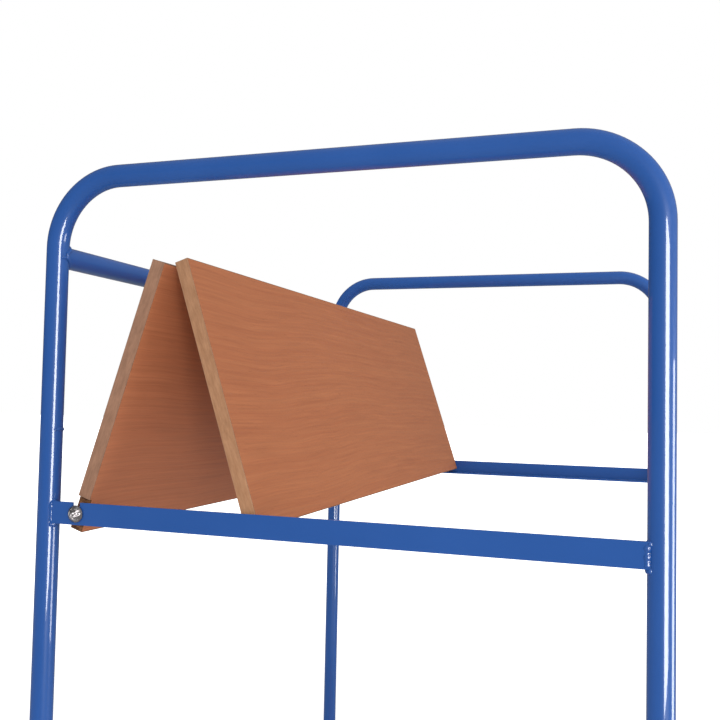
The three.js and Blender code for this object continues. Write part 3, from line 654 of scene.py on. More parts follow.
    def screws(self) -> NodeTree:
        """Flat screw heads with a cross recess and a short shank behind them.

        Returns:
            The tree.
        """
        g = self.start("cross_screws", {"Head Radius": 0.0024, "Head Height": 0.0012, "Crown": 0.0003,
                                        "Shank Radius": 0.0014, "Shank Length": 0.006})
        radius, height, crown = (g.given[name] for name in ("Head Radius", "Head Height", "Crown"))
        foot, top, arm, wide, deep = (g.math("MULTIPLY", radius, share)
                                      for share in (0.62, 0.78, 1.15, 0.26, 0.7))
        cone, bar = "GeometryNodeMeshCone", "GeometryNodeMeshCube"
        head, cap = (g.out(cone, {"Vertices": 32, "Radius Top": upper, "Radius Bottom": lower,
                                  "Depth": depth})
                     for upper, lower, depth in ((radius, foot, height), (top, radius, crown)))
        head = self.lifted(g, head, g.math("MULTIPLY", height, -1.0))
        body = g.out("GeometryNodeMeshBoolean", {1: [head, cap]}, operation="UNION")
        cross = [self.lifted(g, g.out(bar, {"Size": g.xyz(a, b, deep)}), crown)
                 for a, b in ((arm, wide), (wide, arm))]
        cut = g.out("GeometryNodeMeshBoolean", {0: body, 1: cross}, operation="DIFFERENCE")
        shank = g.out("GeometryNodeMeshCylinder", {"Vertices": 16, "Radius": g.given["Shank Radius"],
                                                   "Depth": g.given["Shank Length"]})
        sunk = g.math("SUBTRACT", g.math("MULTIPLY", g.given["Shank Length"], -0.5), height)
        parts = [cut, self.lifted(g, shank, sunk)]
        return self.scatter(g, g.out("GeometryNodeJoinGeometry", {0: parts}))

    def ribs(self) -> NodeTree:
        """Straight ribs: one on every point, long along the point's axis.

        Returns:
            The tree.
        """
        g = self.start("ribs", {"Length": 0.04, "Width": 0.003, "Height": 0.01})
        size = g.xyz(g.given["Width"], g.given["Height"], g.given["Length"])
        return self.scatter(g, g.out("GeometryNodeMeshCube", {"Size": size}), False)


# ---------------------------------------------------------------- meshes


def turned_to(axis: str, place: Sequence[float]) -> Matrix:
    """A frame at a place whose Z looks along a world axis.

    Args:
        axis: The axis, such as "+x" or "-z".
        place: The frame's place.

    Returns:
        The frame.
    """
    look = Vector((0, 0, 0))
    look["xyz".index(axis[1])] = 1 if axis[0] == "+" else -1
    return Matrix.Translation(place) @ look.to_track_quat("Z", "Y").to_matrix().to_4x4()


def arc(centre: Point2, radius: float, start: float, end: float, steps: int) -> list[Point2]:
    """Points along an arc, both its ends among them.

    Args:
        centre: The arc's centre.
        radius: Its radius.
        start: Start angle in degrees.
        end: End angle in degrees.
        steps: Number of steps.

    Returns:
        The points.
    """
    angles = [math.radians(start + (end - start) * i / steps) for i in range(steps + 1)]
    return [(centre[0] + radius * math.cos(a), centre[1] + radius * math.sin(a)) for a in angles]


def capsule(a: Point2, b: Point2, radius: float, end_radius: float) -> list[Point2]:
    """The outline of a bar with round ends, turning left.

    Args:
        a: Centre of its first end.
        b: Centre of its other end.
        radius: Radius of the first end.
        end_radius: Radius of the other end.

    Returns:
        The outline.
    """
    turn = math.degrees(math.atan2(b[1] - a[1], b[0] - a[0]))
    return arc(a, radius, turn + 90, turn + 270, 8) + arc(b, end_radius, turn - 90, turn + 90, 8)


def rounded_box(low: Point2, high: Point2, radius: float) -> list[Point2]:
    """The outline of a rectangle with rounded corners, turning left.

    Args:
        low: Its lower corner.
        high: Its upper corner.
        radius: The corners' radius.

    Returns:
        The outline.
    """
    (x0, y0), (x1, y1) = low, high
    corners = ((x1 - radius, y1 - radius), (x0 + radius, y1 - radius),
               (x0 + radius, y0 + radius), (x1 - radius, y0 + radius))
    return [p for i, centre in enumerate(corners) for p in arc(centre, radius, 90 * i, 90 * i + 90, 6)]


@dataclass
class Shells:
    """Closed shells that together make one piece."""

    points: Ring = field(default_factory=list)
    faces: list[tuple[int, ...]] = field(default_factory=list)
    slots: list[int] = field(default_factory=list)

    def add(self, points: Ring, faces: Sequence[tuple[int, ...]], slots: Sequence[int] = ()) -> None:
        """Adds a closed shell, its faces turned outward.

        Args:
            points: The shell's points.
            faces: Its faces.
            slots: Each face's place in the list of materials, or none where all are the first.
        """
        volume = sum(points[face[0]].dot(points[a].cross(points[b]))
                     for face in faces for a, b in zip(face[1:], face[2:]))
        start = len(self.points)
        self.points += points
        for face in faces:
            self.faces.append(tuple(start + i for i in (face if volume > 0 else reversed(face))))
        self.slots += slots or [0] * len(faces)

    def stack(self, rings: Sequence[Ring], loop: bool = False) -> None:
        """Joins rings of points into a shell.

        Args:
            rings: Rings with equal numbers of points.
            loop: True where the last ring joins the first one.
        """
        count, total = len(rings[0]), len(rings) * len(rings[0])
        faces: list[tuple[int, ...]] = []
        for a in range(0, total if loop else total - count, count):
            b = (a + count) % total
            faces += [(a + i, a + (i + 1) % count, b + (i + 1) % count, b + i) for i in range(count)]
        if not loop:
            faces += [tuple(reversed(range(count))), tuple(range(total - count, total))]
        self.add([p for ring in rings for p in ring], faces)

    def turned(self, profile: Sequence[Point2], place: Matrix, sides: int) -> None:
        """Turns a profile round the frame's Z.

        Args:
            profile: Radius and height of its points; the first comes again at the end of a loop.
            place: The frame.
            sides: Steps round the axis.
        """
        loop = profile[0] == profile[-1]
        steps = [math.tau * i / sides for i in range(sides)]
        self.stack([[place @ Vector((r * math.cos(a), r * math.sin(a), h)) for a in steps]
                    for r, h in (profile[:-1] if loop else profile)], loop)

    def sleeve(self, inner: float, outer: float, low: float, high: float, place: Matrix,
               sides: int) -> None:
        """A plain ring round the frame's Z."""
        line = [(inner, low), (outer, low), (outer, high), (inner, high), (inner, low)]
        self.turned(line, place, sides)

    def shank(self, radius: float, tip: float, low: float, shoulder: float, high: float, place: Matrix,
              sides: int) -> None:
        """A bolt's shank with a narrower tip, along the frame's Z."""
        line = [(BOLT_CORE, low), (radius, low), (radius, shoulder), (tip, high), (BOLT_CORE, high)]
        self.turned(line, place, sides)

    def plate(self, outline: Sequence[Point2], low: float, high: float, place: Matrix,
              holes: Iterable[Sequence[Point2]] = (), slots: tuple[int, int] = (0, 0)) -> None:
        """A flat plate in the frame's XY plane, with holes.

        Args:
            outline: The outer line.
            low: Lower face.
            high: Upper face.
            place: The frame.
            holes: The holes' lines.
            slots: The materials' places on the faces and on the sides.
        """
        loops = [[Vector((x, y, 0)) for x, y in line] for line in (outline, *holes)]
        joined = [p for line in loops for p in line]
        count = len(joined)
        faces: list[tuple[int, ...]] = []
        for tri in tessellate_polygon(loops):
            a, b, c = (joined[i] for i in tri)
            face = tuple(tri) if (b - a).cross(c - a).z > 0 else tuple(reversed(tri))
            faces += [tuple(i + count for i in face), face[::-1]]
        flats = len(faces)
        start = 0
        for line in loops:
            size = len(line)
            turn = sum(line[i - 1].x * line[i].y - line[i].x * line[i - 1].y for i in range(size))
            for i in range(size):
                a, b = start + i, start + (i + 1) % size
                side = (a, b, b + count, a + count)
                faces.append(side if (turn > 0) == (start == 0) else side[::-1])
            start += size
        points = [place @ Vector((p.x, p.y, z)) for z in (low, high) for p in joined]
        self.add(points, faces, [slots[0]] * flats + [slots[1]] * (len(faces) - flats))

    def box(self, low: Sequence[float], high: Sequence[float], place: Matrix, slot: int = 0) -> None:
        """A straight block between two corners of the frame."""
        outline = [(low[0], low[1]), (high[0], low[1]), (high[0], high[1]), (low[0], high[1])]
        self.plate(outline, low[2], high[2], place, (), (slot, slot))

    def hexagon(self, flats: float, low: float, high: float, place: Matrix, bore: float = 0.0) -> None:
        """A hexagon head or nut whose corners are turned off at both faces.

        Args:
            flats: Width across flats.
            low: Lower face.
            high: Upper face.
            place: The frame, its Z along the bolt.
            bore: Radius of the bore, or zero.
        """
        sixth, sides = math.pi / 3, 48
        angles = [math.tau * i / sides for i in range(sides)]
        reach = [flats / 2 / math.cos((a + math.pi / 6) % sixth - math.pi / 6) for a in angles]
        trim = flats * 0.47
        drop = [(r - trim) * 0.5 for r in reach]
        rows = [([trim] * sides, [low] * sides), (reach, [low + d for d in drop]),
                (reach, [high - d for d in drop]), ([trim] * sides, [high] * sides)]
        if bore:
            rows += [([bore] * sides, [high] * sides), ([bore] * sides, [low] * sides)]
        rings = [[place @ Vector((r * math.cos(a), r * math.sin(a), h))
                  for r, a, h in zip(sizes, angles, heights)] for sizes, heights in rows]
        self.stack(rings, bool(bore))

    def mesh(self, name: str, materials: Sequence[Material]) -> Mesh:
        """The shells as one mesh.

        Args:
            name: The mesh's name.
            materials: Its materials.

        Returns:
            The mesh.
        """
        mesh = bpy.data.meshes.new(name)
        mesh.from_pydata(self.points, [], self.faces)
        for material in materials:
            mesh.materials.append(material)
        mesh.polygons.foreach_set("material_index", self.slots)
        mesh.validate()
        mesh.update()
        return mesh


class Maker:
    """Turns meshes into finished pieces that ride on the trolley's bodies."""

    def __init__(self) -> None:
        """Makes the shared effects and the geometry trees."""
        self.effects = Effects()
        self.growers = Growers()
        self.made: dict[Finish, Material] = {}

    def material(self, finish: Finish) -> Material:
        """A finish's material, made the first time that it is asked for.

        Args:
            finish: The finish.

        Returns:
            Its material.
        """
        if finish not in self.made:
            material = bpy.data.materials.new(finish.value)
            material.use_nodes = True
            FINISHES[finish].dress(Paint(material.node_tree, self.effects))
            self.made[finish] = material
        return self.made[finish]

    def holder(self, mesh: Mesh) -> Object:
        """A linked object for a mesh.

        Args:
            mesh: The mesh.

        Returns:
            The object.
        """
        thing = bpy.data.objects.new(mesh.name, mesh)
        bpy.context.scene.collection.objects.link(thing)
        return thing

    def evaluated(self, holder: Object, name: str) -> Mesh:
        """The plain mesh of an object with modifiers, which is then removed.

        Args:
            holder: The object.
            name: The new mesh's name.

        Returns:
            The mesh.
        """
        bpy.context.view_layer.update()
        graph = bpy.context.evaluated_depsgraph_get()
        mesh = bpy.data.meshes.new_from_object(holder.evaluated_get(graph), depsgraph=graph)
        mesh.name = name
        spent = holder.data
        bpy.data.objects.remove(holder)
        bpy.data.meshes.remove(spent)
        return mesh

    def softened(self, mesh: Mesh, width: float, steps: int) -> Mesh:
        """Rounds a mesh's edges and keeps its flats flat.

        Args:
            mesh: The mesh.
            width: The rounding's width.
            steps: Its steps.

        Returns:
            The rounded mesh.
        """
        mesh.shade_smooth()
        holder = self.holder(mesh)
        bevel = holder.modifiers.new("soft_edges", "BEVEL")
        bevel.width = width
        bevel.segments = steps
        bevel.limit_method = "ANGLE"
        bevel.angle_limit = BEVEL_ANGLE
        bevel.harden_normals = True
        bevel.use_clamp_overlap = True
        return self.evaluated(holder, mesh.name)

    def creased(self, mesh: Mesh) -> None:
        """Shades a mesh smooth up to its sharp edges."""
        mesh.shade_smooth()
        mesh.set_sharp_from_angle(angle=BEVEL_ANGLE)

    def grown(self, name: str, tree: str, finish: Finish, points: Sequence[Sequence[float]],
              edges: Sequence[tuple[int, int]] = (), sizes: dict[str, float] | None = None,
              axes: Sequence[Sequence[float]] = (), turns: Sequence[float] = ()) -> Mesh:
        """Runs a geometry tree on points and edges.

        Args:
            name: The mesh's name.
            tree: The geometry tree's name.
            finish: Its material.
            points: The points.
            edges: The path's edges, or none.
            sizes: The tree's named sizes.
            axes: The way that each point's shape looks.
            turns: The turn of each point's shape, or none.

        Returns:
            The mesh that grew.
        """
        seed = bpy.data.meshes.new(name)
        seed.from_pydata([tuple(p) for p in points], list(edges), [])
        if axes:
            axis = seed.attributes.new("axis", "FLOAT_VECTOR", "POINT")
            axis.data.foreach_set("vector", [c for a in axes for c in a])
            turn = seed.attributes.new("turn", "FLOAT", "POINT")
            turn.data.foreach_set("value", list(turns) or [0.0] * len(points))
        holder = self.holder(seed)
        modifier = holder.modifiers.new("grow", "NODES")
        modifier.node_group = self.growers.trees[tree]
        values: dict[str, Any] = {**(sizes or {}), "Material": self.material(finish)}
        for item in modifier.node_group.interface.items_tree:
            if item.in_out == "INPUT" and item.name in values:
                modifier[item.identifier] = values[item.name]
        mesh = self.evaluated(holder, name)
        if tree in ("tube", "domes", "screws"):
            mesh.set_sharp_from_angle(angle=BEVEL_ANGLE)
        return mesh

    def piece(self, name: str, mesh: Mesh, body: str, finish: Finish, *replaces: str) -> None:
        """Sets a finished mesh in the scene.

        Args:
            name: The piece's name.
            mesh: Its mesh, in place.
            body: The body that it rides on.
            finish: Its main finish.
            *replaces: The solids that it stands for.
        """
        mesh.name = name
        if not mesh.materials:
            mesh.materials.append(self.material(finish))
        thing = self.holder(mesh)
        thing.name = name
        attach(thing, body)
        if replaces:
            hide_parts(*replaces)
        LOG.info("%s: %d faces on %s", name, len(mesh.polygons), body)

    def shaped(self, name: str, shells: Shells, body: str, finishes: Sequence[Finish], *replaces: str,
               soft: float = 0.0) -> None:
        """Makes a piece from shells.

        Args:
            name: The piece's name.
            shells: Its shells.
            body: The body that it rides on.
            finishes: Its finishes, in the order of the shells' slots.
            *replaces: The solids that it stands for.
            soft: Width of its rounded edges.
        """
        mesh = shells.mesh(name, [self.material(finish) for finish in finishes])
        if soft:
            mesh = self.softened(mesh, soft, 2)
        else:
            self.creased(mesh)
        self.piece(name, mesh, body, finishes[0], *replaces)

    def from_solid(self, node: str, name: str, finish: Finish, soft: float, steps: int = 2,
                   more: Shells | None = None) -> None:
        """Makes a piece from a copy of a solid, merged and with rounded edges.

        Args:
            node: The solid.
            name: The piece's name.
            finish: Its finish.
            soft: Width of its rounded edges.
            steps: Steps of the rounding.
            more: Shells that are added to it.
        """
        source = frame["nodes"][node]
        copy = bmesh.new()
        copy.from_mesh(source.data)
        bmesh.ops.remove_doubles(copy, verts=copy.verts, dist=2e-6)
        bmesh.ops.dissolve_limit(copy, angle_limit=math.radians(1), verts=copy.verts, edges=copy.edges)
        if more:
            extra = more.mesh("more", [])
            copy.from_mesh(extra)
            bpy.data.meshes.remove(extra)
        mesh = bpy.data.meshes.new(name)
        copy.to_mesh(mesh)
        copy.free()
        for attribute in [a.name for a in mesh.attributes if not a.is_internal and not a.is_required]:
            mesh.attributes.remove(mesh.attributes[attribute])
        mesh.materials.clear()
        mesh.materials.append(self.material(finish))
        mesh.polygons.foreach_set("material_index", [0] * len(mesh.polygons))
        self.piece(name, self.softened(mesh, soft, steps), source["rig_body"], finish, node)


# ---------------------------------------------------------------- sub-assemblies


@dataclass
class Bows:
    """The two end bows and the tube that ties them along the back."""

    maker: Maker
    end_x: float = 0.555
    post_y: float = 0.395
    feet: float = 0.2006
    crown: float = 1.530
    tube_radius: float = 0.015
    bend_radius: float = 0.095
    tie_radius: float = 0.015
    tie_z: float = 1.424
    tie_straight: float = 0.53
    weld_radius: float = 0.0024
    weld_out: float = 0.0006
    weld_in: float = 0.0008
    seam_radius: float = 0.0025
    seam_z: float = 1.186
    seam_turn: tuple = (225, 350)
    seam_ripple: float = 0.0060
    tail_turn: tuple = (235, 272)
    tail_drop: float = 0.003
    tail_ripple: float = 0.0050

    def bow(self, end: str) -> None:
        """Makes one bow.

        Args:
            end: The trolley's end.
        """
        name, x, y = f"bow_tube_{end}", ENDS[end] * self.end_x, self.post_y
        path = [(x, -y, self.feet), (x, -y, self.crown), (x, y, self.crown), (x, y, self.feet)]
        sizes = {"Tube Radius": self.tube_radius, "Bend Radius": self.bend_radius}
        mesh = self.maker.grown(name, "tube", Finish.COAT, path, [(0, 1), (1, 2), (2, 3)], sizes)
        self.maker.piece(name, mesh, "frame", Finish.COAT, f"end_bow_{end}")

    def saddle(self, end: str, radius: float, sides: int) -> Ring:
        """The line where a tube of a radius along X meets a back post.

        Args:
            end: The trolley's end.
            radius: The radius of the tube.
            sides: Steps round it.

        Returns:
            The line's points.
        """
        points = []
        for i in range(sides):
            a = math.tau * i / sides
            across = radius * math.cos(a)
            deep = math.sqrt(max(self.tube_radius ** 2 - across ** 2, 0.0))
            points.append(Vector((ENDS[end] * (self.end_x - deep), self.post_y + across,
                                  self.tie_z + radius * math.sin(a))))
        return points

    def tie(self) -> None:
        """Makes the tie tube, its ends fitted to the posts, and the welds round them."""
        shells = Shells()
        left, right = (self.saddle(end, self.tie_radius, 48) for end in ENDS)
        straight = [[Vector((sign * self.tie_straight, p.y, p.z)) for p in left] for sign in (-1, 1)]
        shells.stack([left, *straight, right])
        self.maker.shaped("tie_tube", shells, "frame", [Finish.COAT], "back_tie_tube")
        for end in ENDS:
            line = self.saddle(end, self.tie_radius + self.weld_out, 60)
            line = [p - Vector((ENDS[end] * self.weld_in, 0, 0)) for p in line]
            self.weld(f"tie_weld_{end}", [line], self.weld_radius, closed=True)

    def weld(self, name: str, lines: Sequence[Sequence[Any]], radius: float, seed: float = 0.0,
             ripple: float = FINE_RIPPLE, closed: bool = False) -> None:
        """Makes weld beads along lines.

        Args:
            name: The beads' name.
            lines: The points of each bead.
            radius: Their radius.
            seed: Shifts their unevenness.
            ripple: Length of one of their ripples.
            closed: True where they run round and meet themselves.
        """
        points, edges = [], []
        for line in lines:
            first = len(points)
            points += line
            edges += [(i, i + 1) for i in range(first, len(points) - 1)]
            if closed:
                edges.append((len(points) - 1, first))
        sizes = {"Bead Radius": radius, "Seed": seed, "End Thinning": 0.0 if closed else 1.0,
                 "Ripple": ripple}
        mesh = self.maker.grown(name, "weld", Finish.WELD, points, edges, sizes)
        self.maker.piece(name, mesh, "frame", Finish.WELD)

    def round_post(self, end: str, turn: Point2, z: float, sunk: float) -> Ring:
        """A line round part of a back post, at one height.

        Args:
            end: The trolley's end.
            turn: Angles of its start and end in degrees, from the post's inner side.
            z: Its height.
            sunk: How far it lies under the post's surface.

        Returns:
            The line's points.
        """
        flat = arc((0.0, 0.0), self.tube_radius - sunk, *turn, 24)
        return [Vector((ENDS[end] * (self.end_x - x), self.post_y + y, z)) for x, y in flat]

    def build(self) -> None:
        """Makes the bows, the tie tube, the seam on the left back post and the tie's weld ends."""
        for end in ENDS:
            self.bow(end)
        self.tie()
        seam = self.round_post("left", self.seam_turn, self.seam_z, self.seam_radius * 0.5)
        self.weld("post_seam_weld", [seam], self.seam_radius, 2.0, self.seam_ripple)
        for end in ENDS:
            tail = self.round_post(end, self.tail_turn, self.tie_z - self.tail_drop,
                                   self.weld_radius * 0.3)
            self.weld(f"tie_tail_weld_{end}", [tail], self.weld_radius, ENDS[end], self.tail_ripple)


@dataclass
class Rails:
    """The shelf rails, the base frame's rails and plates, and their welds."""

    maker: Maker
    bows: Bows
    soft: float = 0.0007
    outer_x: float = 0.5657
    outer_y: float = 0.4057
    shelf_edges: tuple = (1.060, 1.090)
    base_edges: tuple = (0.2006, 0.2406)
    beads: tuple = ((0.0040, 0.0030, 0.0046), (0.0002, 0.0020, 0.0033))
    bead_trim: float = 0.001
    bead_ripple: float = 0.0096
    lobe_radius: float = 0.0040
    lobe_ripple: float = 0.009
    lobe_sunk: float = 0.0026
    lobe_gap: float = 0.0002
    lobe_path: tuple = ((-0.005, -0.003), (0.0, -0.0005), (0.003, 0.001))
    lobe_drops: tuple = (0.0015, 0.0030)
    pad_radius: float = 0.0024
    pad_step: float = 0.004
    pad_proud: float = 0.0003
    pad_lift: float = 0.0002
    pad_runs: tuple = ((0.405, (0.0, 0.060, 0.115)), (0.266, (0.0, 0.052, 0.098)))

    def rail_welds(self, level: str, low: float, high: float) -> None:
        """Makes the beads where the end rails meet the posts, and the lobes at their ends.

        Args:
            level: Name of the rails' level.
            low: Lower edge of the rails.
            high: Their upper edge.
        """
        bows = self.bows
        reach = math.sqrt(bows.tube_radius ** 2 - (self.outer_x - bows.end_x) ** 2)
        for end, x_sign, side, y_sign in CORNERS:
            along, sunk, radius = self.beads[side == "back"]
            x = x_sign * (self.outer_x - sunk)
            y = y_sign * (bows.post_y - reach - along)
            line = [(x, y, z) for z in (low + self.bead_trim, high - self.bead_trim)]
            bows.weld(f"{level}_weld_{end}_{side}", [line], radius, y_sign + x_sign * 2,
                      self.bead_ripple)
            x = x_sign * (self.outer_x - self.lobe_sunk)
            y = y_sign * (bows.post_y - reach - self.lobe_gap)
            lobes = [[(x + x_sign * dx, y + y_sign * dy, edge - drop) for dx, dy in self.lobe_path]
                     for edge, drop in zip((low, high), self.lobe_drops)]
            bows.weld(f"{level}_weld_ends_{end}_{side}", lobes, self.lobe_radius, x_sign,
                      self.lobe_ripple)

    def plate_welds(self) -> None:
        """Makes the short beads between the corner plates and the base frame's rails."""
        z = self.base_edges[0] + self.pad_lift
        along, across = ([[middle + start + self.pad_step * i for i in range(8)] for start in starts]
                         for middle, starts in self.pad_runs)
        for end, x_sign, side, y_sign in CORNERS:
            x = x_sign * (self.outer_x + self.pad_proud)
            y = y_sign * (self.outer_y + self.pad_proud)
            lines = [[(x_sign * step, y, z) for step in run] for run in along]
            lines += [[(x, y_sign * step, z) for step in run] for run in across]
            self.bows.weld(f"corner_pad_weld_{end}_{side}", lines, self.pad_radius, x_sign + 2 * y_sign)

    def build(self) -> None:
        """Makes every rail, plate and weld."""
        rows = []
        for end in ENDS:
            rows += [(f"shelf_rail_{end}", f"shelf_angle_{end}", 3),
                     (f"base_end_rail_{end}", f"base_end_angle_{end}", 2)]
            rows += [(f"corner_plate_{end}_{side}", f"corner_pad_{end}_{side}", 2) for side in SIDES]
        rows += [(f"base_side_rail_{side}", f"base_side_angle_{side}", 2) for side in SIDES]
        for node, name, steps in rows:
            self.maker.from_solid(node, name, Finish.COAT, self.soft, steps)
        self.rail_welds("shelf_rail", *self.shelf_edges)
        self.rail_welds("base_rail", *self.base_edges)
        self.plate_welds()


@dataclass
class Boards:
    """The two halves of the folding shelf, and the bottom deck."""

    maker: Maker
    half_length: float = 0.559
    thickness: float = 0.019
    band: float = 0.0008
    joint: float = 0.00012
    pin_axis: tuple = (0.0, 0.343, 1.075)
    fold_axis: tuple = (0.0, 0.2155031, 1.4083554)
    back_y: tuple = (-0.3545, 0.0245)
    front_y: tuple = (-0.3635, -0.002)
    front_low: float = 0.0075
    recess: float = 0.005
    recess_half: float = 0.0222
    deck_half: tuple = (0.5594, 0.3994)
    deck_notch: tuple = (0.535, 0.375)
    deck_low: float = 0.2049

    def board(self, name: str, node: str, body: str, outline: Sequence[Point2], low: float,
              place: Matrix, finishes: Sequence[Finish], bare: Sequence[int] = ()) -> None:
        """Makes one board: its core and the bands on its edges.

        Args:
            name: The piece's name.
            node: The solid that it stands for.
            body: The body that it rides on.
            outline: The board's outline, turning left.
            low: Its lower face.
            place: Its frame.
            finishes: Decor, band and raw chipboard.
            bare: The edges that carry no band.
        """
        count = len(outline)
        corners = [Vector(corner) for corner in outline]
        core: list[Point2] = []
        for i, corner in enumerate(corners):
            point = corner
            runs = ((i - 1) % count, corner - corners[i - 1]), (i, corners[(i + 1) % count] - corner)
            for number, run in runs:
                run = run.normalized()
                inset = 0.0 if number in bare else self.band + self.joint
                point = point + Vector((-run.y, run.x)) * inset
            core.append((point.x, point.y))
        shells = Shells()
        shells.plate(core, low, low + self.thickness, place, (), (0, 2))
        for i, a in enumerate(corners):
            if i in bare:
                continue
            b = corners[(i + 1) % count]
            run = (b - a).normalized()
            if abs(run.x) > abs(run.y):
                trim = self.band + self.joint / 2
                a = a + run * (trim if (i - 1) % count not in bare else 0)
                b = b - run * (trim if (i + 1) % count not in bare else 0)
            run = b - a
            turn = Matrix.Rotation(math.atan2(run.y, run.x), 4, "Z")
            spot = place @ Matrix.Translation((a.x, a.y, low)) @ turn
            shells.box((0, 0, 0), (run.length, self.band, self.thickness), spot, 1)
        self.maker.shaped(name, shells, body, finishes, node, soft=0.0004)

    def build(self) -> None:
        """Makes the three boards."""
        x, step, notch = self.half_length, self.recess, -self.recess_half
        (y0, y1), (f0, f1) = self.back_y, self.front_y
        (dx, dy), (nx, ny) = self.deck_half, self.deck_notch
        back = [(-x, y0), (x, y0), (x, notch), (x - step, notch), (x - step, y1), (-x + step, y1),
                (-x + step, notch), (-x, notch)]
        self.board("shelf_panel_back", "shelf_board_back", "shelf_back_half", back, -self.thickness / 2,
                   Matrix.Translation(self.pin_axis) @ Matrix.Rotation(-SHELF_TILT, 4, "X"),
                   [Finish.DECOR_BACK, Finish.BAND_BACK, Finish.CHIPBOARD], (2, 3, 5, 6))
        front = [(-x, f0), (x, f0), (x, f1), (-x, f1)]
        self.board("shelf_panel_front", "shelf_board_front", "shelf_front_half", front, self.front_low,
                   Matrix.Translation(self.fold_axis) @ Matrix.Rotation(SHELF_TILT, 4, "X"),
                   [Finish.DECOR_FRONT, Finish.BAND_FRONT, Finish.CHIPBOARD])
        deck = [(-nx, -dy), (nx, -dy), (nx, -ny), (dx, -ny), (dx, ny), (nx, ny), (nx, dy), (-nx, dy),
                (-nx, ny), (-dx, ny), (-dx, -ny), (-nx, -ny)]
        self.board("deck_panel", "deck_board", "frame", deck, self.deck_low, Matrix.Identity(4),
                   [Finish.DECOR_DECK, Finish.BAND_DECK, Finish.CHIPBOARD], (1, 2, 4, 5, 7, 8, 10, 11))


@dataclass
class Pivots:
    """The pins that the shelf turns on, and their lock nuts."""

    maker: Maker
    y: float = 0.343
    z: float = 1.075
    seat: float = 0.566
    rim: float = 0.0012
    head_radius: float = 0.0115
    head_height: float = 0.005
    head_edge: float = 0.0006
    dome_steps: tuple = (0, 12, 24, 36, 48, 60, 72, 82)
    core: float = 0.0002
    shank_radius: float = 0.005
    shank_end: float = 0.524
    shank_edge: float = 0.0008
    nut: tuple = (0.016, 0.5543, 0.5593)
    nut_bore: float = 0.00515

    def build(self) -> None:
        """Makes both pins and nuts."""
        seat, high, wide, edge = self.seat, self.head_height, self.head_radius, self.head_edge
        start, shank, chamfer = self.shank_end, self.shank_radius, self.shank_edge
        dome = [(wide * math.cos(a), seat + self.rim + (high - self.rim) * math.sin(a))
                for a in (math.radians(step) for step in self.dome_steps)]
        profile = [(self.core, start), (shank - chamfer, start), (shank, start + chamfer),
                   (shank, seat), (wide - edge, seat), (wide, seat + edge), *dome,
                   (self.core, seat + high)]
        for end, sign in ENDS.items():
            place = turned_to("+x" if sign > 0 else "-x", (0, self.y, self.z))
            pin, nut = Shells(), Shells()
            pin.turned(profile, place, 64)
            nut.hexagon(*self.nut, place, self.nut_bore)
            for shells, name, finish, node in ((pin, "pivot_bolt", Finish.BRIGHT, "pivot_pin"),
                                               (nut, "pivot_lock_nut", Finish.ZINC, "pivot_nut")):
                self.maker.shaped(f"{name}_{end}", shells, "shelf_back_half", [finish], f"{node}_{end}")


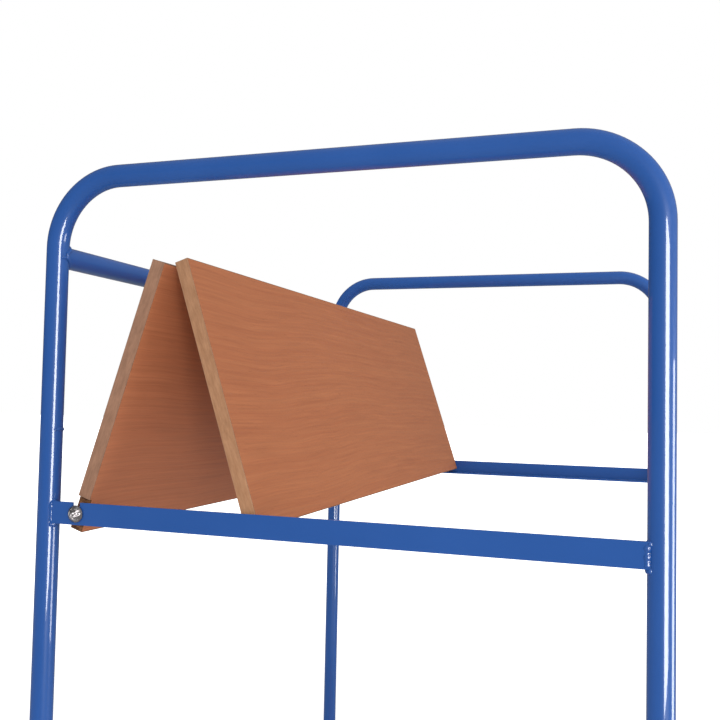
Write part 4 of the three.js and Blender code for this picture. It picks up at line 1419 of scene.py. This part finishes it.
@dataclass
class Hinges:
    """The three fold hinges under the shelf, with their screws."""

    maker: Maker
    boards: Boards
    places: tuple = (("left", -0.42484), ("middle", 0.0), ("right", 0.42484))
    halves: tuple = (("back", 1), ("front", -1))
    length: float = 0.060
    width: float = 0.042
    faces: tuple = (0.0047, 0.0072)
    start: float = 0.0068
    corner: float = 0.003
    foot: float = 0.0080
    foot_faces: tuple = (0.0048, 0.0064)
    knuckle: float = 0.0065
    bore: float = 0.0037
    gap: float = 0.0003
    middle_share: float = 0.45
    pin: tuple = ((0.0015, 0.0), (0.0029, 0.0004), (0.0035, 0.0012))
    pin_past: float = 0.0015
    hole_radius: float = 0.0025
    holes: tuple = ((-0.34, 0.42), (0.0, 0.76), (0.34, 0.42))
    screw_lift: float = 0.0004
    screw_turns: tuple = (0.7, 1.1)

    def leaf_frame(self, side: int, x: float) -> Matrix:
        """The frame of a leaf: X along the pin, the leaf beside it."""
        where = Vector(self.boards.fold_axis) + Vector((x, 0, 0))
        return Matrix.Translation(where) @ Matrix.Rotation(-side * SHELF_TILT, 4, "X")

    def leaf(self, half: str, side: int, name: str, x: float) -> None:
        """Makes one leaf with its knuckles.

        Args:
            half: The half of the shelf that it is screwed to.
            side: 1 for the back half, -1 for the front half.
            name: The hinge's name.
            x: The hinge's place along the shelf.
        """
        shells, place, reach = Shells(), self.leaf_frame(side, x), self.length / 2
        barrel = place @ Matrix.Rotation(math.radians(90), 4, "Y")
        near, far = sorted((side * self.start, side * self.width))
        outline = rounded_box((-reach, near), (reach, far), self.corner)
        holes = [arc((a * self.length, side * b * self.width), self.hole_radius, 0, 360, 20)[:-1]
                 for a, b in self.holes]
        shells.plate(outline, *self.faces, place, holes)
        middle, gap, foot = self.middle_share * self.length / 2, self.gap, side * self.foot
        spans = [(-reach, -middle - gap), (middle + gap, reach)]
        for a, b in spans if half == "back" else [(-middle + gap, middle - gap)]:
            shells.sleeve(self.bore, self.knuckle, a, b, barrel, 36)
            shells.plate([(a, 0.0), (b, 0.0), (b, foot), (a, foot)], *self.foot_faces, place)
        self.maker.shaped(f"hinge_wing_{half}_{name}", shells, f"shelf_{half}_half", [Finish.ZINC],
                          f"hinge_leaf_{half}_{name}", soft=0.0004)

    def screws(self, half: str, side: int) -> None:
        """Makes the screws of the leaves on one half of the shelf.

        Args:
            half: The half.
            side: 1 for the back half, -1 for the front half.
        """
        name, points, axes, turns = f"hinge_screws_{half}", [], [], []
        for number, (_, x) in enumerate(self.places):
            place = self.leaf_frame(side, x)
            for index, (a, b) in enumerate(self.holes):
                spot = (a * self.length, side * b * self.width, self.faces[0] + self.screw_lift)
                points.append(place @ Vector(spot))
                axes.append(place.to_3x3() @ Vector((0, 0, -1)))
                turns.append(self.screw_turns[0] * number + self.screw_turns[1] * index)
        mesh = self.maker.grown(name, "screws", Finish.ZINC, points, axes=axes, turns=turns)
        self.maker.piece(name, mesh, f"shelf_{half}_half", Finish.ZINC)

    def build(self) -> None:
        """Makes leaves, pins and screws."""
        reach = self.length / 2 + self.pin_past
        low_end = [(r, -reach + h) for r, h in self.pin]
        high_end = [(r, reach - h) for r, h in reversed(self.pin)]
        profile = low_end + high_end
        for name, x in self.places:
            for half, side in self.halves:
                self.leaf(half, side, name, x)
            rod = Shells()
            rod.turned(profile, turned_to("+x", Vector(self.boards.fold_axis) + Vector((x, 0, 0))), 32)
            self.maker.shaped(f"hinge_rod_{name}", rod, "shelf_back_half", [Finish.ZINC],
                              f"hinge_pin_{name}")
        for half, side in self.halves:
            self.screws(half, side)


@dataclass
class Castors:
    """Two swivel castors with brakes at the left end and two fixed ones at the right end.

    A hexagon is given as its width across flats and its two faces; a shank as its radius, its
    tip's radius, its start, its shoulder and its end.
    """

    maker: Maker
    x: float = 0.465
    y: float = 0.317
    trail: float = 0.050
    axle_z: float = 0.080
    radius: float = 0.080
    half_width: float = 0.020
    core: tuple = ((0.0063, 0.0250), (0.0166, 0.0250), (0.0180, 0.0236), (0.0182, 0.0070),
                   (0.0200, 0.0052), (0.0535, 0.0050), (0.0560, 0.0068), (0.0568, 0.0178),
                   (0.0580, 0.0190), (0.0624, 0.0190), (0.0630, 0.0184))
    tread: tuple = ((0.0634, 0.0012), (0.0648, 0.0002), (0.0675, 0.0), (0.0682, 0.0006),
                    (0.0716, 0.0006), (0.0723, 0.0), (0.0745, 0.0003), (0.0768, 0.0018),
                    (0.0786, 0.0042), (0.0797, 0.0075), (0.080, 0.0110))
    tread_line: tuple = (0.0006, 0.00015, 0.0003)
    ribs: int = 8
    rib_sizes: tuple = (("Length", 0.0400), ("Width", 0.0036), ("Height", 0.0100))
    rib_middle: float = 0.0372
    rib_side: float = 0.0098
    axle_head: tuple = (0.018, -0.0373, -0.0305)
    axle_shank: tuple = (0.006, 0.0052, -0.0305, 0.0411, 0.0423)
    axle_nut: tuple = (0.018, 0.0303, 0.0393)
    axle_bore: float = 0.0061
    lower_race: tuple = ((0.0062, 0.1766), (0.0262, 0.1766), (0.0282, 0.1786), (0.0286, 0.1806),
                         (0.0274, 0.1826), (0.0274, 0.1832), (0.0062, 0.1832), (0.0062, 0.1766))
    upper_race: tuple = ((0.0062, 0.1840), (0.0274, 0.1840), (0.0290, 0.1850), (0.0290, 0.1872),
                         (0.0276, 0.1894), (0.0250, 0.1906), (0.0062, 0.1906), (0.0062, 0.1840))
    ball_ring: tuple = (0.0062, 0.0266, 0.1830, 0.1842)
    kingpin_head: tuple = (0.019, 0.1635, 0.1715)
    kingpin_shank: tuple = (0.006, 0.0054, 0.1714, 0.1944, 0.1950)
    fork_rib: tuple = ((-0.434, 0.158), (-0.421, 0.108))
    bracket_rib: tuple = ((0.465, 0.165), (0.465, 0.108))
    rib_ends: tuple = (0.0072, 0.0050)
    rib_faces: tuple = (0.0298, 0.0316)
    pad_place: tuple = (-0.3494, 0.16550)
    pad_slope: float = math.radians(10.96)
    pad_half: tuple = (0.0195, 0.0205)
    pad_corner: float = 0.004
    pad_faces: tuple = (-0.0004, 0.0018)
    bar_half: tuple = (0.0014, 0.0175)
    bar_faces: tuple = (0.0014, 0.0032)
    bar_start: float = -0.0150
    bar_step: float = 0.0075
    bolt_reach: tuple = (0.040, 0.030)
    bolt_top: float = 0.2003
    bolt_under: float = 0.1909
    bolt_turn: float = 0.37
    washer: tuple = (0.0043, 0.0080, 0.0, 0.0014)
    bolt_nut: tuple = (0.013, 0.0015, 0.0080)
    bolt_bore: float = 0.0042
    bolt_shank: tuple = (0.0040, 0.0033, 0.0, 0.0096, 0.0104)

    def at(self, axis: str, side: str, x: float, z: float = 0.0) -> Matrix:
        """A frame on the middle line of one side's castors, its Z along a world axis."""
        return turned_to(axis, (x, SIDES[side] * self.y, z))

    def rounds(self, half: Sequence[Point2], place: Matrix, sides: int) -> Shells:
        """Turns the half of a profile, mirrored to both sides.

        Args:
            half: Radius and width of its points.
            place: The frame.
            sides: Steps round the axis.

        Returns:
            The shells.
        """
        shells = Shells()
        profile = [(r, -h) for r, h in half] + [(r, h) for r, h in reversed(half)]
        shells.turned([*profile, profile[0]], place, sides)
        return shells

    def wheel(self, kind: str, side: str, x: float) -> None:
        """Makes one wheel body with its ribs, and its tyre.

        Args:
            kind: "swivel" or "fixed".
            side: "front" or "back".
            x: Place of the axle.
        """
        place, body = self.at("+y", side, x, self.axle_z), f"{kind}_{side}_wheel"
        name = f"{kind}_wheel_core_{side}"
        core = self.rounds(self.core, place, 96).mesh(name, [self.maker.material(Finish.PLASTIC)])
        points, axes = [], []
        for face in (-1, 1):
            for i in range(self.ribs):
                a = math.tau * (i + 0.5 * (face > 0)) / self.ribs
                out = Vector((math.cos(a), 0, math.sin(a)))
                middle = Vector((x, SIDES[side] * self.y + face * self.rib_side, self.axle_z))
                points.append(middle + out * self.rib_middle)
                axes.append(out)
        ribs = self.maker.grown(f"{kind}_ribs_{side}", "ribs", Finish.PLASTIC, points,
                                sizes=dict(self.rib_sizes), axes=axes)
        self.maker.creased(core)
        self.maker.piece(name, self.merged(core, ribs), body, Finish.PLASTIC, f"{kind}_wheel_{side}")
        half_line, deep, narrow = self.tread_line
        half = [*[(r, self.half_width - drop) for r, drop in self.tread], (self.radius, half_line),
                (self.radius - deep, narrow)]
        self.maker.shaped(f"{kind}_tread_{side}", self.rounds(half, place, 128), body, [Finish.RUBBER],
                          f"{kind}_tyre_{side}")

    def merged(self, first: Mesh, second: Mesh) -> Mesh:
        """Joins two meshes.

        Args:
            first: The mesh that takes the other one up.
            second: The other mesh, which is then removed.

        Returns:
            The first mesh.
        """
        whole = bmesh.new()
        whole.from_mesh(first)
        whole.from_mesh(second)
        whole.to_mesh(first)
        whole.free()
        bpy.data.meshes.remove(second)
        return first

    def axle(self, kind: str, side: str, x: float, body: str) -> None:
        """Makes one axle bolt and its nut.

        Args:
            kind: "swivel" or "fixed".
            side: "front" or "back".
            x: Place of the axle.
            body: The body that they ride on.
        """
        place, bolt, nut = self.at("+y", side, x, self.axle_z), Shells(), Shells()
        bolt.hexagon(*self.axle_head, place)
        bolt.shank(*self.axle_shank, place, 32)
        nut.hexagon(*self.axle_nut, place, self.axle_bore)
        for shells, name, node in ((bolt, "axle_bolt", "axle"), (nut, "axle_lock_nut", "axle_nut")):
            self.maker.shaped(f"{kind}_{name}_{side}", shells, body, [Finish.ZINC],
                              f"{kind}_{node}_{side}")

    def pressed(self, side: str, high: Point2, low: Point2) -> Shells:
        """The ribs pressed into the two legs of a fork.

        Args:
            side: "front" or "back".
            high: X and Z of the ribs' upper end.
            low: X and Z of their lower end.

        Returns:
            The ribs.
        """
        shells = Shells()
        for look, sign in (("+y", -1), ("-y", 1)):
            outline = capsule((sign * high[0], high[1]), (sign * low[0], low[1]), *self.rib_ends)
            shells.plate(outline, *self.rib_faces, self.at(look, side, 0))
        return shells

    def foot_pad(self, side: str) -> None:
        """Makes the ribbed pad on one brake pedal.

        Args:
            side: "front" or "back".
        """
        (x, z), (wide, deep), (half, reach) = self.pad_place, self.pad_half, self.bar_half
        place = (Matrix.Translation((x, SIDES[side] * self.y, z))
                 @ Matrix.Rotation(self.pad_slope, 4, "Y"))
        shells, (low, high) = Shells(), self.bar_faces
        shells.plate(rounded_box((-wide, -deep), (wide, deep), self.pad_corner), *self.pad_faces, place)
        for i in range(5):
            x = self.bar_start + self.bar_step * i
            shells.box((x - half, -reach, low), (x + half, reach, high), place)
        self.maker.shaped(f"brake_pad_{side}", shells, f"brake_{side}", [Finish.PLASTIC], soft=0.0007)

    def swivel(self, side: str) -> None:
        """Makes one castor's kingpin and its bearing: two pressed races round a ring of balls.

        Args:
            side: "front" or "back".
        """
        place, races, kingpin = self.at("+z", side, -self.x), Shells(), Shells()
        races.turned(self.lower_race, place, 64)
        races.turned(self.upper_race, place, 64)
        races.sleeve(*self.ball_ring, place, 64)
        kingpin.hexagon(*self.kingpin_head, place)
        kingpin.shank(*self.kingpin_shank, place, 32)
        for shells, name, node in ((races, "swivel_races", "swivel_bearing"),
                                   (kingpin, "kingpin_bolt", "kingpin")):
            self.maker.shaped(f"{name}_{side}", shells, "frame", [Finish.ZINC], f"{node}_{side}")

    def bolts(self) -> None:
        """Makes the sixteen castor bolts: low heads on the corner plates, nuts underneath."""
        tops, turns, nuts, (along, across) = [], [], Shells(), self.bolt_reach
        for _, x_sign, _, y_sign in CORNERS:
            for dx, dy in ((-along, -across), (-along, across), (along, -across), (along, across)):
                spot = (x_sign * self.x + dx, y_sign * self.y + dy)
                turns.append(self.bolt_turn * len(turns))
                tops.append((*spot, self.bolt_top))
                place = turned_to("-z", (*spot, self.bolt_under)) @ Matrix.Rotation(turns[-1], 4, "Z")
                nuts.sleeve(*self.washer, place, 32)
                nuts.hexagon(*self.bolt_nut, place, self.bolt_bore)
                nuts.shank(*self.bolt_shank, place, 24)
        heads = self.maker.grown("castor_bolt_heads", "domes", Finish.ZINC, tops,
                                 axes=[(0, 0, 1)] * len(tops), turns=turns)
        self.maker.piece("castor_bolt_heads", heads, "frame", Finish.ZINC)
        self.maker.shaped("castor_nuts", nuts, "frame", [Finish.ZINC])

    def build(self) -> None:
        """Makes all four castors and their bolts."""
        solid, axle_x = self.maker.from_solid, -self.x + self.trail
        for side in SIDES:
            solid(f"swivel_plate_{side}", f"swivel_top_plate_{side}", Finish.ZINC, 0.0006)
            solid(f"swivel_fork_{side}", f"swivel_fork_legs_{side}", Finish.ZINC, 0.0010, 3,
                  self.pressed(side, *self.fork_rib))
            solid(f"brake_pedal_{side}", f"brake_lever_{side}", Finish.ZINC, 0.0010, 3)
            self.foot_pad(side)
            solid(f"fixed_bracket_{side}", f"fixed_fork_{side}", Finish.ZINC, 0.0010, 3,
                  self.pressed(side, *self.bracket_rib))
            self.swivel(side)
            self.axle("swivel", side, axle_x, f"swivel_{side}")
            self.axle("fixed", side, self.x, "frame")
            self.wheel("swivel", side, axle_x)
            self.wheel("fixed", side, self.x)
        self.bolts()


@dataclass
class DeckScrews:
    """The screws that hold the deck from below."""

    maker: Maker
    places_x: tuple = (-0.30525, 0.0, 0.30525)
    y: float = 0.381
    z: float = 0.2006
    turn: float = 0.5
    sizes: tuple = (("Head Radius", 0.0045), ("Head Height", 0.0008), ("Crown", 0.0022),
                    ("Shank Radius", 0.0024), ("Shank Length", 0.014))

    def build(self) -> None:
        """Makes the six screws."""
        points = [(x, side * self.y, self.z) for x in self.places_x for side in SIDES.values()]
        turns = [self.turn * i for i in range(len(points))]
        mesh = self.maker.grown("deck_screws", "screws", Finish.ZINC, points, sizes=dict(self.sizes),
                                axes=[(0, 0, -1)] * len(points), turns=turns)
        self.maker.piece("deck_screws", mesh, "frame", Finish.ZINC)


@dataclass
class Lamp:
    """One soft light; gloss is True where only reflections show it, False where they never do.

    The receivers are the pieces that it lights and the blockers those that throw shadows in it,
    or none where all do. The roll is its turn about its own beam, in degrees.
    """

    name: str
    place: tuple
    aim: tuple
    size: tuple
    power: float
    gloss: bool = False
    receivers: Sequence[str] = ()
    blockers: Sequence[str] = ()
    roll: float = 0.0

    def gathered(self, role: str) -> Collection | None:
        """The pieces of one role in a collection of their own, or nothing where there are none.

        Args:
            role: "receivers" or "blockers".

        Returns:
            The collection.
        """
        pieces = getattr(self, role)
        if not pieces:
            return None
        gathered = bpy.data.collections.new(f"{self.name}_{role}")
        for piece in pieces:
            gathered.objects.link(bpy.data.objects[piece])
        return gathered

    def hang(self) -> None:
        """Sets the light in the scene."""
        data = bpy.data.lights.new(self.name, "AREA")
        data.shape = "RECTANGLE"
        data.size, data.size_y = self.size
        data.energy = self.power
        thing = bpy.data.objects.new(self.name, data)
        look = (Vector(self.aim) - Vector(self.place)).to_track_quat("-Z", "Y").to_matrix().to_4x4()
        turn = Matrix.Rotation(math.radians(self.roll), 4, "Z")
        thing.matrix_world = Matrix.Translation(self.place) @ look @ turn
        bpy.context.scene.collection.objects.link(thing)
        thing.visible_camera = False
        thing.visible_diffuse = not self.gloss
        thing.visible_glossy = self.gloss
        thing.light_linking.receiver_collection = self.gathered("receivers")
        thing.light_linking.blocker_collection = self.gathered("blockers")


@dataclass
class Studio:
    """The floor, the lights and the camera."""

    eye: tuple = (-1.55338, -0.39292, 1.23480)
    forward: tuple = (0.94460035, 0.32509925, 0.04517363)
    right: tuple = (0.32450321, -0.94566974, 0.02015951)
    up: tuple = (-0.04927317, 0.00438369, 0.99877572)
    focal_pixels: float = 874.19
    frame_pixels: float = 720.0
    sensor: float = 36.0
    clip: tuple = (0.02, 60)
    floor_half: float = 40.0
    light_from: tuple = (-0.25, -0.86, 0.44)
    streaked: tuple = ("bow_tube", "tie_", "post_seam", "shelf_rail_weld", "base_rail_weld")
    halves: tuple = ("shelf_panel_back", "shelf_panel_front")

    def camera(self) -> None:
        """Sets the camera at the photograph's place."""
        data = bpy.data.cameras.new("camera")
        data.sensor_width = self.sensor
        data.lens = self.sensor * self.focal_pixels / self.frame_pixels
        data.clip_start, data.clip_end = self.clip
        thing = bpy.data.objects.new("camera", data)
        columns = Matrix((self.right, self.up, [-c for c in self.forward])).transposed()
        thing.matrix_world = Matrix.Translation(self.eye) @ columns.to_4x4()
        bpy.context.scene.collection.objects.link(thing)
        bpy.context.scene.camera = thing

    def floor(self) -> None:
        """Makes the pale floor. To the camera it glows, more the farther it lies from the trolley, so
        that it fades into the white room; in reflections it shows dark grey, a painted dark reflection.
        """
        mesh = bpy.data.meshes.new("studio_floor")
        h = self.floor_half
        mesh.from_pydata([(-h, -h, 0), (h, -h, 0), (h, h, 0), (-h, h, 0)], [], [(0, 1, 2, 3)])
        material = bpy.data.materials.new("studio_floor")
        material.use_nodes = True
        graph = Graph(material.node_tree)
        place = graph.add("ShaderNodeTexCoord").outputs["Object"]
        path = graph.add("ShaderNodeLightPath").outputs
        pale = graph.blend(graph.noise(place, 1.5, 3), (0.86, 0.86, 0.86, 1), (0.90, 0.90, 0.90, 1))
        # painted glow, seen only by the camera and growing with the distance from the trolley
        glow = graph.span(graph.vector("LENGTH", place, port=1), 1.2, 5.0, 0.12, 1.0)
        # painted dark reflection: glossy rays see the floor dark grey
        values = {"Base Color": graph.blend(path["Is Glossy Ray"], pale, (0.30, 0.30, 0.30, 1)),
                  "Roughness": 0.7, "Specular IOR Level": 0.1, "Emission Color": (1, 1, 1, 1),
                  "Emission Strength": graph.math("MULTIPLY", glow, path["Is Camera Ray"])}
        for name, value in values.items():
            graph.feed(material.node_tree.nodes["Principled BSDF"].inputs[name], value)
        mesh.materials.append(material)
        thing = bpy.data.objects.new("studio_floor", mesh)
        bpy.context.scene.collection.objects.link(thing)

    def world(self) -> None:
        """Makes the white room: white to the camera, softer in what it lights."""
        world = bpy.data.worlds.new("white_room")
        world.use_nodes = True
        world.cycles.sampling_method = "NONE"
        bpy.context.scene.world = world
        graph = Graph(world.node_tree)
        base = world.node_tree.nodes["Background"].inputs
        path = graph.add("ShaderNodeLightPath").outputs
        look = graph.add("ShaderNodeTexCoord").outputs["Generated"]
        toward = graph.vector("DOT_PRODUCT", look, self.light_from, port=1)
        soft = graph.span(toward, -1.0, 1.0, 0.52, 1.14)
        gloss = graph.span(toward, -1.0, 1.0, 0.05, 0.42)
        lit = graph.out("ShaderNodeMix", {0: path["Is Glossy Ray"], 2: soft, 3: gloss},
                        data_type="FLOAT")
        strength = graph.out("ShaderNodeMix", {0: path["Is Camera Ray"], 2: lit, 3: 1.0},
                             data_type="FLOAT")
        base["Color"].default_value = (1, 1, 1, 1)
        graph.feed(base["Strength"], strength)

    def lamps(self) -> list[Lamp]:
        """The lights: wide soft ones for the surfaces, narrow ones for the streaks on the tubes.

        Returns:
            The lights.
        """
        names = [thing.name for thing in bpy.context.scene.objects]
        tubes = [name for name in names if name.startswith(self.streaked)]
        pins = [f"pivot_bolt_{end}" for end in ENDS]
        lamps = [Lamp("key_light", (-0.4, -2.7, 2.1), (0, 0, 1.1), (1.6, 1.6), 21),
                 Lamp("fill_right", (-2.0, -1.0, 1.2), (-0.3, 0.1, 1.2), (1.2, 1.2), 7)]
        for half, power in zip(self.halves, (3.5, 11)):
            lamps.append(Lamp(f"fill_low_{half}", (-1.6, -0.15, 0.45), (-0.2, 0.25, 1.25), (0.8, 0.8),
                              power, False, [half], self.halves))
        return lamps + [
            Lamp("fill_tent", (-2.15, -1.0, 1.15), (-0.4, 0.25, 1.2), (0.3, 0.9), 14, False,
                 self.halves[:1], self.halves),
            Lamp("strip_right", (-1.789, -1.483, 1.10), (-0.489, -1.233, 1.10), (1.05, 1.32), 94, True,
                 tubes),
            Lamp("strip_far_right", (0.0, -2.8, 0.72), (-0.555, -0.395, 0.72), (1.0, 1.44), 52, True,
                 tubes),
            Lamp("strip_left", (-2.75, 1.10, 0.90), (-0.571, 0.343, 1.075), (3.6, 0.42), 16, True, pins,
                 roll=15)]

    def build(self) -> None:
        """Makes the whole studio."""
        self.camera()
        self.floor()
        self.world()
        for lamp in self.lamps():
            lamp.hang()
        bpy.context.scene.view_settings.view_transform = "Standard"


def main() -> None:
    """Builds the trolley's looks and the studio, in order."""
    logging.basicConfig(level=logging.INFO, format="%(name)s: %(message)s")
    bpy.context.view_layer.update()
    maker = Maker()
    bows = Bows(maker)
    boards = Boards(maker)
    assemblies = (bows, Rails(maker, bows), boards, Pivots(maker), Hinges(maker, boards),
                  Castors(maker), DeckScrews(maker), Studio())
    for assembly in assemblies:
        assembly.build()


if __name__ == "__main__":
    main()
